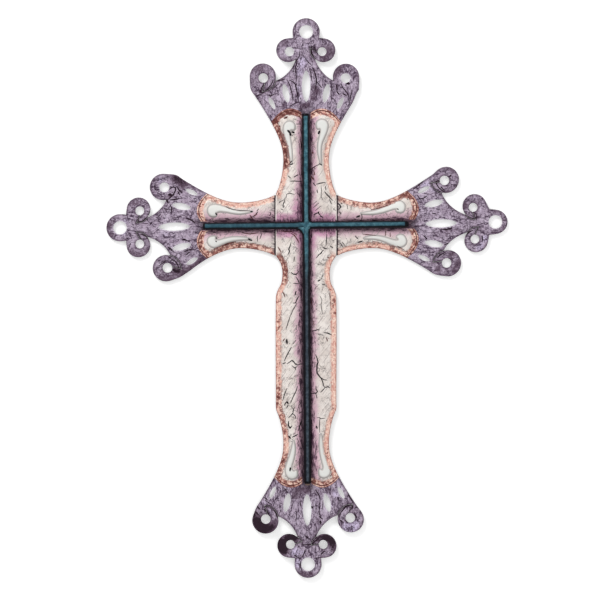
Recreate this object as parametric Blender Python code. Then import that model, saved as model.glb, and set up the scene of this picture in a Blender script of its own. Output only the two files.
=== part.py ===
# Painted steel wall cross: two pierced and embossed sheets, with a cross of round bar in their valleys.
# Metres. X runs right, Z runs up and the front faces -Y. The origin is the nail hole, on the wall plane.

from math import acos, atan2, cos, hypot, pi, radians, sin

import bmesh
import bpy
from mathutils import Matrix, Vector
from mathutils.geometry import delaunay_2d_cdt

for leftover in list(bpy.data.objects):
    bpy.data.objects.remove(leftover, do_unlink=True)

# Stock
SHEET = 0.0012
BAR_DIAMETER = 0.00635
CLEARANCE = 0.0003

# Arm outline, as half widths
ARM_HALF_WIDTH = 0.0260
WAIST_HALF_WIDTH = 0.0196
WAIST_REACH = 0.0308
HOLLOW_HALF_WIDTH = 0.0204
HOLLOW_REACH = 0.0160
FLARE_SLOPE = 0.75
FLARE_ROUNDING = 0.0294
WAIST_POWER = 2.0
HOLLOW_POWER = 2.4

# Crossing out to the centre of each end ring, and from there back to the waist
TOP_REACH = 0.1663
RIGHT_REACH = 0.1628
LEFT_REACH = 0.1600
BOTTOM_REACH = 0.2913
WAIST_BACK = {"top": 0.1095, "right": 0.1060, "bottom": 0.1029, "left": 0.1032}

# A finial: "back" runs from the end ring towards the crossing, "side" from the axis
END_RING_RADIUS = {"top": 0.0117, "right": 0.0104, "bottom": 0.0117, "left": 0.0117}
END_HOLE_RADIUS = 0.0057
WEB_BACK = 0.0052
WEB_SIDE = 0.0112
SHOULDER_BACK = 0.0112
NECK_BEND_OUT = 0.0017
NECK_BEND_SIDE = 0.0133

# Curls: a saw cut runs from its mouth at the edge to the pointed tip, and from there enters the hole
RING = {
    "back": 0.0159,
    "side": 0.0155,
    "radius": 0.0102,
    "hole": 0.0038,
    "hole_back": 0.0011,
    "hole_inward": 0.0012,
    "mouth": radians(228),
    "tip": radians(172),
    "entry": radians(188),
}
SCROLL = {
    "back": 0.0390,
    "side": 0.0358,
    "radius": 0.0113,
    "hole": 0.0041,
    "hole_back": 0.0012,
    "hole_inward": 0.0004,
    "mouth": radians(197),
    "tip": radians(270),
    "entry": radians(248),
}
SLIT = 0.0007
TIP_SPREAD = 0.12

# Pierced slots of a finial: both ends as back and side, and the width
CENTRE_SLOT = {"from": (0.0602, 0.0), "to": (0.0332, 0.0), "width": 0.0070}
INNER_SLOT = {"from": (0.0608, 0.0156), "to": (0.0450, 0.0190), "width": 0.0054}
OUTER_SLOT = {"from": (0.0664, 0.0270), "to": (0.0566, 0.0318), "width": 0.0036}
SLOT_POWER = 1.3

# Embossed panels
RIM = 0.0037
LOBE_HEIGHT = 0.0032
LOBE_RAMP = 0.0080
LOBE_FOOT_GAP = 0.0006
LOBE_ROUND_ACROSS = 0.6
LOBE_ROUND_ENDS = 0.8
PANEL_BACK = 0.0693
PANEL_CREST = 0.0133
PANEL_ROUNDING = 0.0120

# Raised teardrops on the panels
COMMA_HEAD_BACK = 0.0805
COMMA_HEAD_SIDE = 0.0142
COMMA_TAIL_BACK = 0.1133
COMMA_TAIL_SIDE = 0.0122
COMMA_RADIUS = 0.0058
COMMA_FULLNESS = 1.45
COMMA_POWER = 1.2
COMMA_RISE = 0.0008
COMMA_BEVEL = 0.0010
COMMA_TAIL_DRAW = 3.0
COMMA_MARGIN = 0.0012

# Bars stop short of the end rings
BAR_END_BACK = {"top": 0.0705, "right": 0.0748, "bottom": 0.0680, "left": 0.0715}
BAR_END_CHAMFER = 0.0006

# How far the hand cutting leant each finial over, clockwise, by its end ring
LEAN = {"top": 0.0, "right": -0.0030, "bottom": -0.0017, "left": -0.0021}

# Where the hand cutting put each curl: moved out, moved away from the axis, and its tip turned on in degrees
HAND_CUT = {
    ("top", "plus", "scroll"): (0.0003, -0.0015, 0),
    ("top", "minus", "scroll"): (0.0005, 0.0014, 0),
    ("top", "plus", "ring"): (0.0, -0.0006, 0),
    ("top", "minus", "ring"): (0.0, 0.0, 0),
    ("right", "plus", "scroll"): (-0.0018, -0.0013, -8),
    ("right", "minus", "scroll"): (-0.0036, 0.0015, -10),
    ("right", "plus", "ring"): (-0.0006, 0.0, 0),
    ("right", "minus", "ring"): (-0.0022, -0.0013, 6),
    ("bottom", "plus", "scroll"): (0.0014, 0.0003, 0),
    ("bottom", "minus", "scroll"): (0.0003, 0.0015, 6),
    ("bottom", "plus", "ring"): (0.0, 0.0005, 28),
    ("bottom", "minus", "ring"): (0.0, -0.0010, 12),
    ("left", "plus", "scroll"): (0.0021, -0.0014, 0),
    ("left", "minus", "scroll"): (-0.0004, -0.0004, 0),
    ("left", "plus", "ring"): (0.0, 0.0, 0),
    ("left", "minus", "ring"): (0.0, 0.0, 0),
}
UNCUT_CURLS = {("top", "plus", "scroll"), ("top", "minus", "ring"), ("left", "plus", "scroll")}

# Facets
CIRCLE_STEPS = 24
HOLE_STEPS = 14
SLOT_STEPS = 12
SLIT_STEPS = 4
NECK_STEPS = 5
COMMA_STEPS = 14
BAR_STEPS = 20
EDGE_SPACING = 0.0060
LOBE_SPACING = 0.0080
LOBE_COLUMNS = (0.0, 0.1, 0.27, 0.5, 0.73, 0.9, 1.0)

CROSSING = Vector((0.0, -TOP_REACH))
SHAFT_HOLLOW = ARM_HALF_WIDTH + HOLLOW_REACH
BAR_RADIUS = BAR_DIAMETER / 2
LOBE_FOOT = BAR_RADIUS + LOBE_FOOT_GAP
CROSSBAR_FRONT = -SHEET
UPRIGHT_FRONT = CROSSBAR_FRONT - CLEARANCE - SHEET
BAR_AXIS = UPRIGHT_FRONT - CLEARANCE - BAR_RADIUS

# "turn" is clockwise from straight up; "lobes_from" is where the embossing starts
ARMS = {
    "top": {"turn": 0.0, "reach": TOP_REACH, "lobes_from": LOBE_FOOT},
    "right": {"turn": radians(90), "reach": RIGHT_REACH, "lobes_from": ARM_HALF_WIDTH + CLEARANCE},
    "bottom": {"turn": radians(180), "reach": BOTTOM_REACH, "lobes_from": LOBE_FOOT},
    "left": {"turn": radians(270), "reach": LEFT_REACH, "lobes_from": ARM_HALF_WIDTH + CLEARANCE},
}
ARMS["bottom"]["hollow"] = SHAFT_HOLLOW
for arm_name, arm_size in ARMS.items():
    arm_size["waist"] = arm_size["reach"] - WAIST_BACK[arm_name]


def place(arm, out, side):
    """Arm measures, out from the crossing and clockwise of the axis, as (x, z)."""
    turn = ARMS[arm]["turn"]
    along = Vector((sin(turn), cos(turn)))
    across = Vector((cos(turn), -sin(turn)))
    return CROSSING + along * out + across * side


def half_width(arm, out):
    """Half the arm's width: straight, hollowed at a waist, then flaring out to the finial."""
    waist = ARMS[arm]["waist"]
    if out >= waist:
        return WAIST_HALF_WIDTH + FLARE_SLOPE * (hypot(out - waist, FLARE_ROUNDING) - FLARE_ROUNDING)
    share = min(1.0, (waist - out) / WAIST_REACH)
    width = WAIST_HALF_WIDTH + (ARM_HALF_WIDTH - WAIST_HALF_WIDTH) * share**WAIST_POWER
    if "hollow" in ARMS[arm]:
        share = min(1.0, abs(out - ARMS[arm]["hollow"]) / HOLLOW_REACH)
        hollow = HOLLOW_HALF_WIDTH + (ARM_HALF_WIDTH - HOLLOW_HALF_WIDTH) * share**HOLLOW_POWER
        width = min(width, hollow)
    return width


def panel_end(arm, side):
    """Where the embossed panel stops: an arc that bulges towards the finial."""
    crest = ARMS[arm]["reach"] - PANEL_BACK
    return crest - (abs(side) - PANEL_CREST) ** 2 / (2 * PANEL_ROUNDING)


def round_point(centre, radius, angle):
    """A point of a circle in (out, side), with the angle taken from sideways towards outwards."""
    return (centre[0] + radius * sin(angle), centre[1] + radius * cos(angle))


def arc(centre, radius, start, end):
    """The points of an arc, both ends included."""
    steps = max(2, round(abs(end - start) / (2 * pi) * CIRCLE_STEPS))
    return [round_point(centre, radius, start + (end - start) * i / steps) for i in range(steps + 1)]


def circle(centre, radius):
    return [round_point(centre, radius, 2 * pi * i / HOLE_STEPS) for i in range(HOLE_STEPS)]


def tangent_angle(centre, radius, point, way):
    """The angle at which the tangent from a point touches a circle, on the side that way gives."""
    gap_out = point[0] - centre[0]
    gap_side = point[1] - centre[1]
    share = min(1.0, radius / hypot(gap_out, gap_side))
    return atan2(gap_out, gap_side) + way * acos(share)


def bend(start, control, end):
    """The inner points of a quadratic curve."""
    points = []
    for i in range(1, NECK_STEPS):
        t = i / NECK_STEPS
        weights = ((1 - t) ** 2, 2 * t * (1 - t), t**2)
        points.append(tuple(sum(w * p[k] for w, p in zip(weights, (start, control, end))) for k in (0, 1)))
    return points


def curl(centre, radius, hole, hole_radius, mouth, tip, entry):
    """The cut that frees a curled tip: along the strand to it, round the hole, and back along the body."""
    way = 1 if tip > mouth else -1
    strand = []
    body = []
    for i in range(SLIT_STEPS + 1):
        share = i / SLIT_STEPS
        angle = mouth + (tip - mouth) * share
        spread = radius * (1 + TIP_SPREAD * share)
        strand.append(round_point(centre, spread, angle))
        body.append(round_point(centre, spread + SLIT, angle + way * share * SLIT / radius))
    gap = SLIT / hole_radius
    sweep = 2 * pi - gap
    rim = []
    for i in range(HOLE_STEPS):
        angle = entry - way * (gap / 2 + sweep * i / (HOLE_STEPS - 1))
        rim.append(round_point(hole, hole_radius, angle))
    return strand + rim + body[::-1]


def curl_of(arm, name, kind):
    """Centre, radius and hole of a scroll or side ring, on the side of the arm that name gives."""
    size = SCROLL if kind == "scroll" else RING
    out, side, _ = HAND_CUT[arm, name, kind]
    centre = (ARMS[arm]["reach"] - size["back"] + out, size["side"] + side)
    hole = (centre[0] - size["hole_back"], centre[1] - size["hole_inward"])
    return centre, size["radius"], hole, size["hole"]


def curl_outline(arm, name, kind):
    """The outline of a scroll or side ring where the body joins it: a cusp, or the cut round its tip."""
    centre, radius, hole, bore = curl_of(arm, name, kind)
    size = SCROLL if kind == "scroll" else RING
    if (arm, name, kind) in UNCUT_CURLS:
        return [round_point(centre, radius, size["mouth"])]
    tip = size["tip"] + radians(HAND_CUT[arm, name, kind][2])
    return curl(centre, radius, hole, bore, size["mouth"], tip, size["entry"])


def half_outline(arm, name):
    """One side of an arm and its finial, from the crossing out to the top of the end ring, as (out, side)."""
    reach = ARMS[arm]["reach"]
    scroll, scroll_radius = curl_of(arm, name, "scroll")[:2]
    ring, ring_radius = curl_of(arm, name, "ring")[:2]
    shoulder = scroll[0] - SHOULDER_BACK
    steps = max(2, round((shoulder - ARM_HALF_WIDTH) / EDGE_SPACING))
    outs = [ARM_HALF_WIDTH + (shoulder - ARM_HALF_WIDTH) * i / steps for i in range(steps + 1)]
    points = [(out, half_width(arm, out)) for out in outs]
    touch = tangent_angle(scroll, scroll_radius, points[-1], 1)
    points += arc(scroll, scroll_radius, touch, SCROLL["mouth"])[:-1]
    points += curl_outline(arm, name, "scroll")
    cut = curl_outline(arm, name, "ring")[::-1]
    points += bend(points[-1], (scroll[0] + NECK_BEND_OUT, NECK_BEND_SIDE), cut[0])
    points += cut
    web = (reach - WEB_BACK, WEB_SIDE)
    leave = tangent_angle(ring, ring_radius, web, -1)
    points += arc(ring, ring_radius, RING["mouth"], leave + 2 * pi)[1:]
    points.append(web)
    end = (reach, 0.0)
    land = tangent_angle(end, END_RING_RADIUS[arm], web, 1)
    points += arc(end, END_RING_RADIUS[arm], land, pi / 2)
    return points


def leant(arm, points, mirrored=False):
    """Arm points in (x, z), on either side of the axis, with the lean added from the waist outwards."""
    start = ARMS[arm]["waist"]
    flip = -1 if mirrored else 1
    placed = []
    for out, side in points:
        share = min(1.0, max(0.0, (out - start) / (ARMS[arm]["reach"] - start)))
        placed.append(place(arm, out, flip * side + LEAN[arm] * share))
    return placed


def arm_outline(arm):
    """The whole outline of an arm, from the crossing out and back."""
    plus = leant(arm, half_outline(arm, "plus"))
    minus = leant(arm, half_outline(arm, "minus"), mirrored=True)
    return plus + minus[:-1][::-1]


def slot(size):
    """A lens with rounded points, between the slot's two ends."""
    start, end = Vector(size["from"]), Vector(size["to"])
    middle, half = (start + end) / 2, (end - start) / 2
    across = Vector((-half.y, half.x)).normalized() * size["width"] / 2
    points = []
    for i in range(SLOT_STEPS):
        angle = 2 * pi * i / SLOT_STEPS
        lens = sin(angle) * abs(sin(angle)) ** (SLOT_POWER - 1)
        points.append(middle + half * cos(angle) + across * lens)
    return points


def arm_holes(arm):
    """The closed loops pierced through a finial."""
    reach = ARMS[arm]["reach"]
    loops = [leant(arm, circle((reach, 0.0), END_HOLE_RADIUS))]
    loops.append(leant(arm, [(reach - back, side) for back, side in slot(CENTRE_SLOT)]))
    for mirrored in (False, True):
        for size in (INNER_SLOT, OUTER_SLOT):
            lens = [(reach - back, side) for back, side in slot(size)]
            loops.append(leant(arm, lens, mirrored))
    for name in ("plus", "minus"):
        for kind in ("scroll", "ring"):
            if (arm, name, kind) in UNCUT_CURLS:
                hole, bore = curl_of(arm, name, kind)[2:]
                loops.append(leant(arm, circle(hole, bore), name == "minus"))
    return loops


def comma(arm, inset):
    """A teardrop with its head towards the finial, drawn in by inset, as (out, side)."""
    reach = ARMS[arm]["reach"]
    head = Vector((reach - COMMA_HEAD_BACK, COMMA_HEAD_SIDE))
    tail = Vector((reach - COMMA_TAIL_BACK, COMMA_TAIL_SIDE))
    along = (tail - head).normalized()
    across = Vector((-along.y, along.x))
    radius = COMMA_RADIUS - inset
    front = head - along * radius
    length = (tail - front).length - COMMA_TAIL_DRAW * inset
    points = []
    for i in range(COMMA_STEPS):
        angle = 2 * pi * (i + 0.5) / COMMA_STEPS
        share = (1 - cos(angle)) / 2
        width = radius * COMMA_FULLNESS * sin(angle) * abs(cos(angle / 2)) ** COMMA_POWER
        out, side = front + along * length * share + across * width
        points.append((out, min(side, half_width(arm, out) - RIM - COMMA_MARGIN - inset)))
    return points


def lobe_point(arm, row, column):
    """A point of a panel's grid, by its shares of the way along and across, as (out, side)."""
    start = ARMS[arm]["lobes_from"]
    out = start + row * (panel_end(arm, PANEL_CREST) - start)
    side = LOBE_FOOT
    for _ in range(3):
        side = LOBE_FOOT + column * (half_width(arm, out) - RIM - LOBE_FOOT)
        out = start + row * (panel_end(arm, side) - start)
    return out, side


def relief(arm, out, side):
    """The height of the pillow-shaped panel over the flat of the sheet."""
    across = (side - LOBE_FOOT) / (half_width(arm, out) - RIM - LOBE_FOOT)
    ends = min(out - ARMS[arm]["lobes_from"], panel_end(arm, side) - out) / LOBE_RAMP
    if not 0 < across < 1 or ends <= 0:
        return 0.0
    swell = (4 * across * (1 - across)) ** LOBE_ROUND_ACROSS
    return LOBE_HEIGHT * swell * sin(min(1.0, ends) * pi / 2) ** LOBE_ROUND_ENDS


def inside(loop, x, z):
    """Whether a point lies inside a closed loop."""
    odd = False
    for i, (x0, z0) in enumerate(loop):
        x1, z1 = loop[i - 1]
        if (z0 > z) != (z1 > z) and x < x0 + (z - z0) / (z1 - z0) * (x1 - x0):
            odd = not odd
    return odd


def panel_points(arm, mirrored):
    """One embossed panel: its foot line, the inner grid and the teardrop's two loops, with heights."""
    length = panel_end(arm, PANEL_CREST) - ARMS[arm]["lobes_from"]
    count = max(6, round(length / LOBE_SPACING))
    ramp = LOBE_RAMP / length
    rows = [0.0, ramp / 3, ramp]
    rows += [ramp + (1 - 2 * ramp) * i / count for i in range(1, count)]
    rows += [1 - ramp, 1 - ramp / 3, 1.0]
    foot = [lobe_point(arm, row, 0.0) for row in rows]
    foot += [lobe_point(arm, 1.0, column) for column in LOBE_COLUMNS[1:]]
    foot += [lobe_point(arm, row, 1.0) for row in rows[-2::-1]]
    foot += [lobe_point(arm, 0.0, column) for column in LOBE_COLUMNS[-2:0:-1]]
    base = comma(arm, 0.0)
    crown = comma(arm, COMMA_BEVEL)
    keep_off = comma(arm, -COMMA_BEVEL)
    grid = [lobe_point(arm, row, column) for row in rows[1:-1] for column in LOBE_COLUMNS[1:-1]]
    grid = [point for point in grid if not inside(keep_off, *point)]
    loops = [
        (leant(arm, foot, mirrored), [0.0] * len(foot)),
        (leant(arm, base, mirrored), [relief(arm, *point) for point in base]),
        (leant(arm, crown, mirrored), [relief(arm, *point) + COMMA_RISE for point in crown]),
    ]
    return loops, (leant(arm, grid, mirrored), [relief(arm, *point) for point in grid])


def add_gauge(build, front):
    """Gives an open surface the sheet's thickness: straight back where it is flat, square to it elsewhere."""
    build.normal_update()
    backwards = 1 if sum(face.normal.y for face in build.faces) < 0 else -1
    rims = [edge for edge in build.edges if edge.is_boundary]
    copy = bmesh.ops.duplicate(build, geom=list(build.faces))
    twin = copy["vert_map"]
    back = [item for item in copy["geom"] if isinstance(item, bmesh.types.BMFace)]
    for vert in {vert for face in back for vert in face.verts}:
        flat = abs(vert.co.y - front) < SHEET * 0.01
        direction = Vector((0, 1, 0)) if flat else -backwards * twin[vert].normal
        vert.co += direction * SHEET
    for rim in rims:
        start, end = rim.verts
        build.faces.new((start, end, twin[end], twin[start]))
    bmesh.ops.recalc_face_normals(build, faces=build.faces)


def embossed_sheet(name, arms, front, material):
    """A sheet cut to its outline, pierced and embossed, at its true thickness."""
    outline = [point for arm in arms for point in arm_outline(arm)]
    holes = [loop for arm in arms for loop in arm_holes(arm)]
    points, heights, edges = [], [], []

    def add_loop(loop, loop_heights):
        first = len(points)
        points.extend(loop)
        heights.extend(loop_heights)
        edges.extend((first + i, first + (i + 1) % len(loop)) for i in range(len(loop)))

    for loop in [outline, *holes]:
        add_loop(loop, [0.0] * len(loop))
    for arm in arms:
        for mirrored in (False, True):
            loops, grid = panel_points(arm, mirrored)
            for loop, loop_heights in loops:
                add_loop(loop, loop_heights)
            points.extend(grid[0])
            heights.extend(grid[1])
    found, _, faces, origins, _, _ = delaunay_2d_cdt(points, edges, [], 0, 1e-7)
    mesh = bpy.data.meshes.new(name)
    build = bmesh.new()
    corners = [
        build.verts.new((x, front - (heights[origin[0]] if origin else 0.0), z))
        for (x, z), origin in zip(found, origins)
    ]
    for face in faces:
        x, z = sum((found[i] for i in face), Vector((0, 0))) / len(face)
        if inside(outline, x, z) and not any(inside(hole, x, z) for hole in holes):
            build.faces.new([corners[i] for i in face])
    bmesh.ops.delete(build, geom=[v for v in build.verts if not v.link_faces], context="VERTS")
    bmesh.ops.recalc_face_normals(build, faces=build.faces)
    add_gauge(build, front)
    build.to_mesh(mesh)
    build.free()
    mesh.shade_smooth()
    mesh.set_sharp_from_angle(angle=radians(30))
    mesh.materials.append(material)
    bpy.context.scene.collection.objects.link(bpy.data.objects.new(name, mesh))


def round_bar(name, start, end, radius, material):
    """A round bar between two points, with chamfered ends."""
    start, end = Vector(start), Vector(end)
    build = bmesh.new()
    bmesh.ops.create_cone(
        build,
        cap_ends=True,
        segments=BAR_STEPS,
        radius1=radius,
        radius2=radius,
        depth=(end - start).length,
    )
    rims = [edge for edge in build.edges if len({round(v.co.z, 6) for v in edge.verts}) == 1]
    bmesh.ops.bevel(
        build, geom=rims, offset=BAR_END_CHAMFER, segments=1, affect="EDGES", clamp_overlap=True
    )
    turn = Vector((0, 0, 1)).rotation_difference(end - start).to_matrix().to_4x4()
    bmesh.ops.transform(build, matrix=Matrix.Translation((start + end) / 2) @ turn, verts=build.verts)
    mesh = bpy.data.meshes.new(name)
    build.to_mesh(mesh)
    build.free()
    mesh.shade_smooth()
    mesh.set_sharp_from_angle(angle=radians(40))
    mesh.materials.append(material)
    bar = bpy.data.objects.new(name, mesh)
    bpy.context.scene.collection.objects.link(bar)
    return bar


def paint(name, colour, roughness):
    """Brushed-on paint over steel."""
    material = bpy.data.materials.new(name)
    material.use_nodes = True
    shader = material.node_tree.nodes["Principled BSDF"]
    shader.inputs["Base Color"].default_value = (*colour, 1.0)
    shader.inputs["Roughness"].default_value = roughness
    shader.inputs["Metallic"].default_value = 0.0
    return material


def bar_tip(arm):
    """The outer end of an arm's bar, in its place over the valley."""
    tip = leant(arm, [(ARMS[arm]["reach"] - BAR_END_BACK[arm], 0.0)])[0]
    return Vector((tip.x, BAR_AXIS, tip.y))


def bar_cross():
    """The upright bar, and the two arm bars coped to its sides."""
    middle = Vector((CROSSING.x, BAR_AXIS, CROSSING.y))
    teal = (0.05, 0.16, 0.20)
    top, foot = bar_tip("top"), bar_tip("bottom")
    round_bar("upright_rod", foot, top, BAR_RADIUS, paint("upright_rod_paint", teal, 0.4))
    cutter = round_bar("cope_cutter", foot, top, BAR_RADIUS + CLEARANCE, None)
    cutter.hide_render = True
    cutter.display_type = "WIRE"
    for arm in ("left", "right"):
        name = arm + "_arm_rod"
        bar = round_bar(name, middle, bar_tip(arm), BAR_RADIUS, paint(name + "_paint", teal, 0.4))
        cope = bar.modifiers.new("Cope", "BOOLEAN")
        cope.object = cutter
        cope.operation = "DIFFERENCE"
        cope.solver = "EXACT"


mauve = paint("crossbar_paint", (0.62, 0.55, 0.55), 0.5)
cream = paint("upright_paint", (0.66, 0.60, 0.56), 0.5)
embossed_sheet("crossbar", ("right", "left"), CROSSBAR_FRONT, mauve)
embossed_sheet("upright", ("top", "bottom"), UPRIGHT_FRONT, cream)
bar_cross()
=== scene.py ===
# Painted steel wall cross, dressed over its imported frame.
from functools import partial
from math import cos, pi, radians, sin

import bmesh
import bpy
import numpy as np
from mathutils import Matrix, Vector, noise
from mathutils.geometry import delaunay_2d_cdt
from mathutils.kdtree import KDTree


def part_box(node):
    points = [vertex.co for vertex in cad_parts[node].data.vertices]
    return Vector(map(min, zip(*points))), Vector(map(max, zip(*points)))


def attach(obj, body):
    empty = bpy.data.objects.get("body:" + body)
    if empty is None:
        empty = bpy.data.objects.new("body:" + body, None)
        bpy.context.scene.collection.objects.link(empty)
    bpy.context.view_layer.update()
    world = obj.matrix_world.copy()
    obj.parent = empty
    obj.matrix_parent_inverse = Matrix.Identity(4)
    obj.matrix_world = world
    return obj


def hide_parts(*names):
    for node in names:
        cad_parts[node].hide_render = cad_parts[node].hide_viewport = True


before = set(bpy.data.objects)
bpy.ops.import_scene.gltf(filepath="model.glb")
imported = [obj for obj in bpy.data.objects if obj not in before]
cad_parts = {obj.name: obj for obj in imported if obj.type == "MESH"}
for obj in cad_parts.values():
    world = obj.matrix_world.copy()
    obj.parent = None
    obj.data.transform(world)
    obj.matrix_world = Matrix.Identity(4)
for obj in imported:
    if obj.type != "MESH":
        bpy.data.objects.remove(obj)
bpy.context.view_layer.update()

mm = 0.001
white = (1, 1, 1, 1)


def srgb(red, green, blue):
    # a colour as paint charts give it, 0 to 255
    return tuple(((c / 255 + 0.055) / 1.055) ** 2.4 if c > 10 else c / 3295 for c in (red, green, blue)) + (1.0,)


def linked(name, data):
    # a new object in the scene
    made = bpy.data.objects.new(name, data)
    bpy.context.scene.collection.objects.link(made)
    return made


def newPaint(name):
    paint = bpy.data.materials.new(name)
    paint.use_nodes = True
    return paint, paint.node_tree, paint.node_tree.nodes["Principled BSDF"]


def plug(tree, node, inputs):
    # sets each input to a value, or links it to what another node puts out
    for key, value in dict(inputs).items():
        if isinstance(value, bpy.types.NodeSocket):
            tree.links.new(value, node.inputs[key])
        else:
            node.inputs[key].default_value = value
    return node


def put(tree, kind, inputs=(), **settings):
    made = tree.nodes.new("ShaderNode" + kind)
    for key, value in settings.items():
        setattr(made, key, value)
    return plug(tree, made, inputs)


def calc(tree, operation, a, b=0.0):
    return put(tree, "Math", {0: a, 1: b}, operation=operation).outputs[0]


def vector(tree, operation, a, b):
    factor = "Scale" if operation == "SCALE" else 1
    return put(tree, "VectorMath", {0: a, factor: b}, operation=operation).outputs[0]


def times(tree, *values):
    product = values[0]
    for value in values[1:]:
        product = calc(tree, "MULTIPLY", product, value)
    return product


def fade(tree, value, low, high):
    # 0 at low and 1 at high, smoothly
    inputs = {"Value": value, "From Min": low, "From Max": high, "To Min": 0.0, "To Max": 1.0}
    return put(tree, "MapRange", inputs, interpolation_type="SMOOTHSTEP").outputs[0]


def band(tree, value, middle, half, soft):
    # 1 within half of the middle, fading over soft
    away = calc(tree, "ABSOLUTE", calc(tree, "SUBTRACT", value, middle))
    return fade(tree, away, half + soft, half)


def over(tree, mask, below, above):
    return put(tree, "Mix", {0: mask, 6: below, 7: above}, data_type="RGBA").outputs[2]


def field(tree, name):
    # a distance that the sheet's points carry
    return put(tree, "Attribute", attribute_name=name).outputs["Fac"]


def clouds(tree, place, scale, detail=2.0, roughness=0.5, output=0):
    inputs = {"Vector": place, "Scale": scale, "Detail": detail, "Roughness": roughness}
    return put(tree, "TexNoise", inputs).outputs[output]


def aboveLevel(tree, cloud, amount, most, span, soft):
    # where a cloud is over a level, which the amount lowers
    level = calc(tree, "SUBTRACT", most, times(tree, amount, span))
    return fade(tree, cloud, calc(tree, "SUBTRACT", level, soft), calc(tree, "ADD", level, soft))


def objectPlace(tree, seed):
    # the object's own coordinates in mm, moved by the seed
    inMm = vector(tree, "SCALE", put(tree, "TexCoord").outputs["Object"], 1 / mm)
    return vector(tree, "ADD", inMm, put(tree, "CombineXYZ", {0: seed, 2: seed}).outputs[0])


studio = {
    "viewCentre": (-0.00525, -0.2305),  # what the middle of the picture looks at, x and z
    "viewWidth": 0.5161,                # width of wall in the picture
    "cameraDistance": 2.6,
    "sensorWidth": 36.0,
    "wallGap": 0.0029,                  # the wall behind the crossbar's back
    "wallReach": 3.0,
    "wallColour": (0.93, 0.93, 0.93, 1.0),
    "wallLift": 0.34,                   # extra white that only the camera sees
    "keyPower": 20.5,
    "keySize": 0.80,
    "keyPlace": (-0.80, -1.35, 1.40),
    "fillPower": 5.5,
    "fillSize": 1.6,
    "fillPlace": (1.1, -1.7, -0.4),
    "skyStrength": 0.61,
}


def setUpStudio():
    scene = bpy.context.scene
    scene.view_settings.view_transform = "Standard"
    centreX, centreZ = studio["viewCentre"]
    cameraData = bpy.data.cameras.new("camera")
    cameraData.sensor_width = studio["sensorWidth"]
    cameraData.lens = studio["sensorWidth"] * studio["cameraDistance"] / studio["viewWidth"]
    cameraData.clip_start, cameraData.clip_end = 0.1, 20.0
    scene.camera = linked("camera", cameraData)
    scene.camera.location = (centreX, -studio["cameraDistance"], centreZ)
    scene.camera.rotation_euler = (radians(90), 0, 0)
    aim = Vector((centreX, 0, centreZ))
    for name in ("key", "fill"):
        light = bpy.data.lights.new(name + "Light", "AREA")
        light.energy = studio[name + "Power"]
        light.size = studio[name + "Size"]
        lamp = linked(name + "Light", light)
        lamp.location = aim + Vector(studio[name + "Place"])
        lamp.rotation_mode = "QUATERNION"
        lamp.rotation_quaternion = (aim - lamp.location).to_track_quat("-Z", "Y")
    scene.world = bpy.data.worlds.new("studioSky")
    scene.world.use_nodes = True
    tree = scene.world.node_tree
    plug(tree, tree.nodes["Background"], {"Color": white, "Strength": studio["skyStrength"]})


def buildWall():
    reach = studio["wallReach"]
    corners = [(-reach, -reach), (reach, -reach), (reach, reach), (-reach, reach)]
    mesh = bpy.data.meshes.new("wall")
    mesh.from_pydata([(x, studio["wallGap"], z) for x, z in corners], [], [(0, 1, 2, 3)])
    wall = linked("wall", mesh)
    paint, tree, shader = newPaint("wallPaint")
    seen = times(tree, put(tree, "LightPath").outputs["Is Camera Ray"], studio["wallLift"])
    plug(tree, shader, {
        "Base Color": studio["wallColour"], "Roughness": 0.9, "Specular IOR Level": 0.1,
        "Emission Color": white, "Emission Strength": seen,
    })
    # clear from behind, so that the back of the cross can be looked at
    clear = put(tree, "BsdfTransparent")
    side = put(tree, "NewGeometry").outputs["Backfacing"]
    pick = put(tree, "MixShader", {0: side, 1: shader.outputs[0], 2: clear.outputs[0]})
    tree.links.new(pick.outputs[0], tree.nodes["Material Output"].inputs["Surface"])
    mesh.materials.append(paint)


def newGroup(name, inputs):
    # a node group with number inputs, and a mask from 0 to 1 as its output
    group = bpy.data.node_groups.new(name, "ShaderNodeTree")
    for socket, value in inputs.items():
        made = group.interface.new_socket(socket, in_out="INPUT", socket_type="NodeSocketFloat")
        made.default_value = value
    group.interface.new_socket("Mask", in_out="OUTPUT", socket_type="NodeSocketFloat")
    start = group.nodes.new("NodeGroupInput")
    end = group.nodes.new("NodeGroupOutput")
    return group, start.outputs, end.inputs["Mask"]


def use(tree, group, **values):
    # one of the groups below, with its own values
    return put(tree, "Group", values, node_tree=group).outputs[0]


def makeBlotches():
    # soft uneven patches
    group, given, mask = newGroup("blotches", {"Size": 8.0, "Amount": 0.5, "Softness": 0.15, "Seed": 0.0})
    place = objectPlace(group, given["Seed"])
    cloud = clouds(group, place, calc(group, "DIVIDE", 1.0, given["Size"]), 5.0, 0.62)
    group.links.new(aboveLevel(group, cloud, given["Amount"], 0.72, 0.44, given["Softness"]), mask)
    return group


def makeCrackle():
    # thin broken lines between cells
    inputs = {"Size": 6.0, "Width": 0.2, "Bend": 1.5, "Coverage": 0.5, "Seed": 0.0}
    group, given, mask = newGroup("crackle", inputs)
    place = objectPlace(group, given["Seed"])
    wobble = clouds(group, place, 0.35, 4.0, 0.6, output=1)
    centred = vector(group, "SUBTRACT", wobble, (0.5, 0.5, 0.5))
    bent = vector(group, "ADD", place, vector(group, "SCALE", centred, times(group, given["Bend"], 2.0)))
    scale = calc(group, "DIVIDE", 1.0, given["Size"])
    cells = put(group, "TexVoronoi", {"Vector": bent, "Scale": scale}, feature="DISTANCE_TO_EDGE").outputs[0]
    gap = times(group, cells, given["Size"])
    line = fade(group, gap, given["Width"], times(group, given["Width"], 0.35))
    keep = aboveLevel(group, clouds(group, place, times(group, scale, 0.8), 3.0), given["Coverage"], 0.70, 0.40, 0.04)
    group.links.new(times(group, line, keep), mask)
    return group


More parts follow.
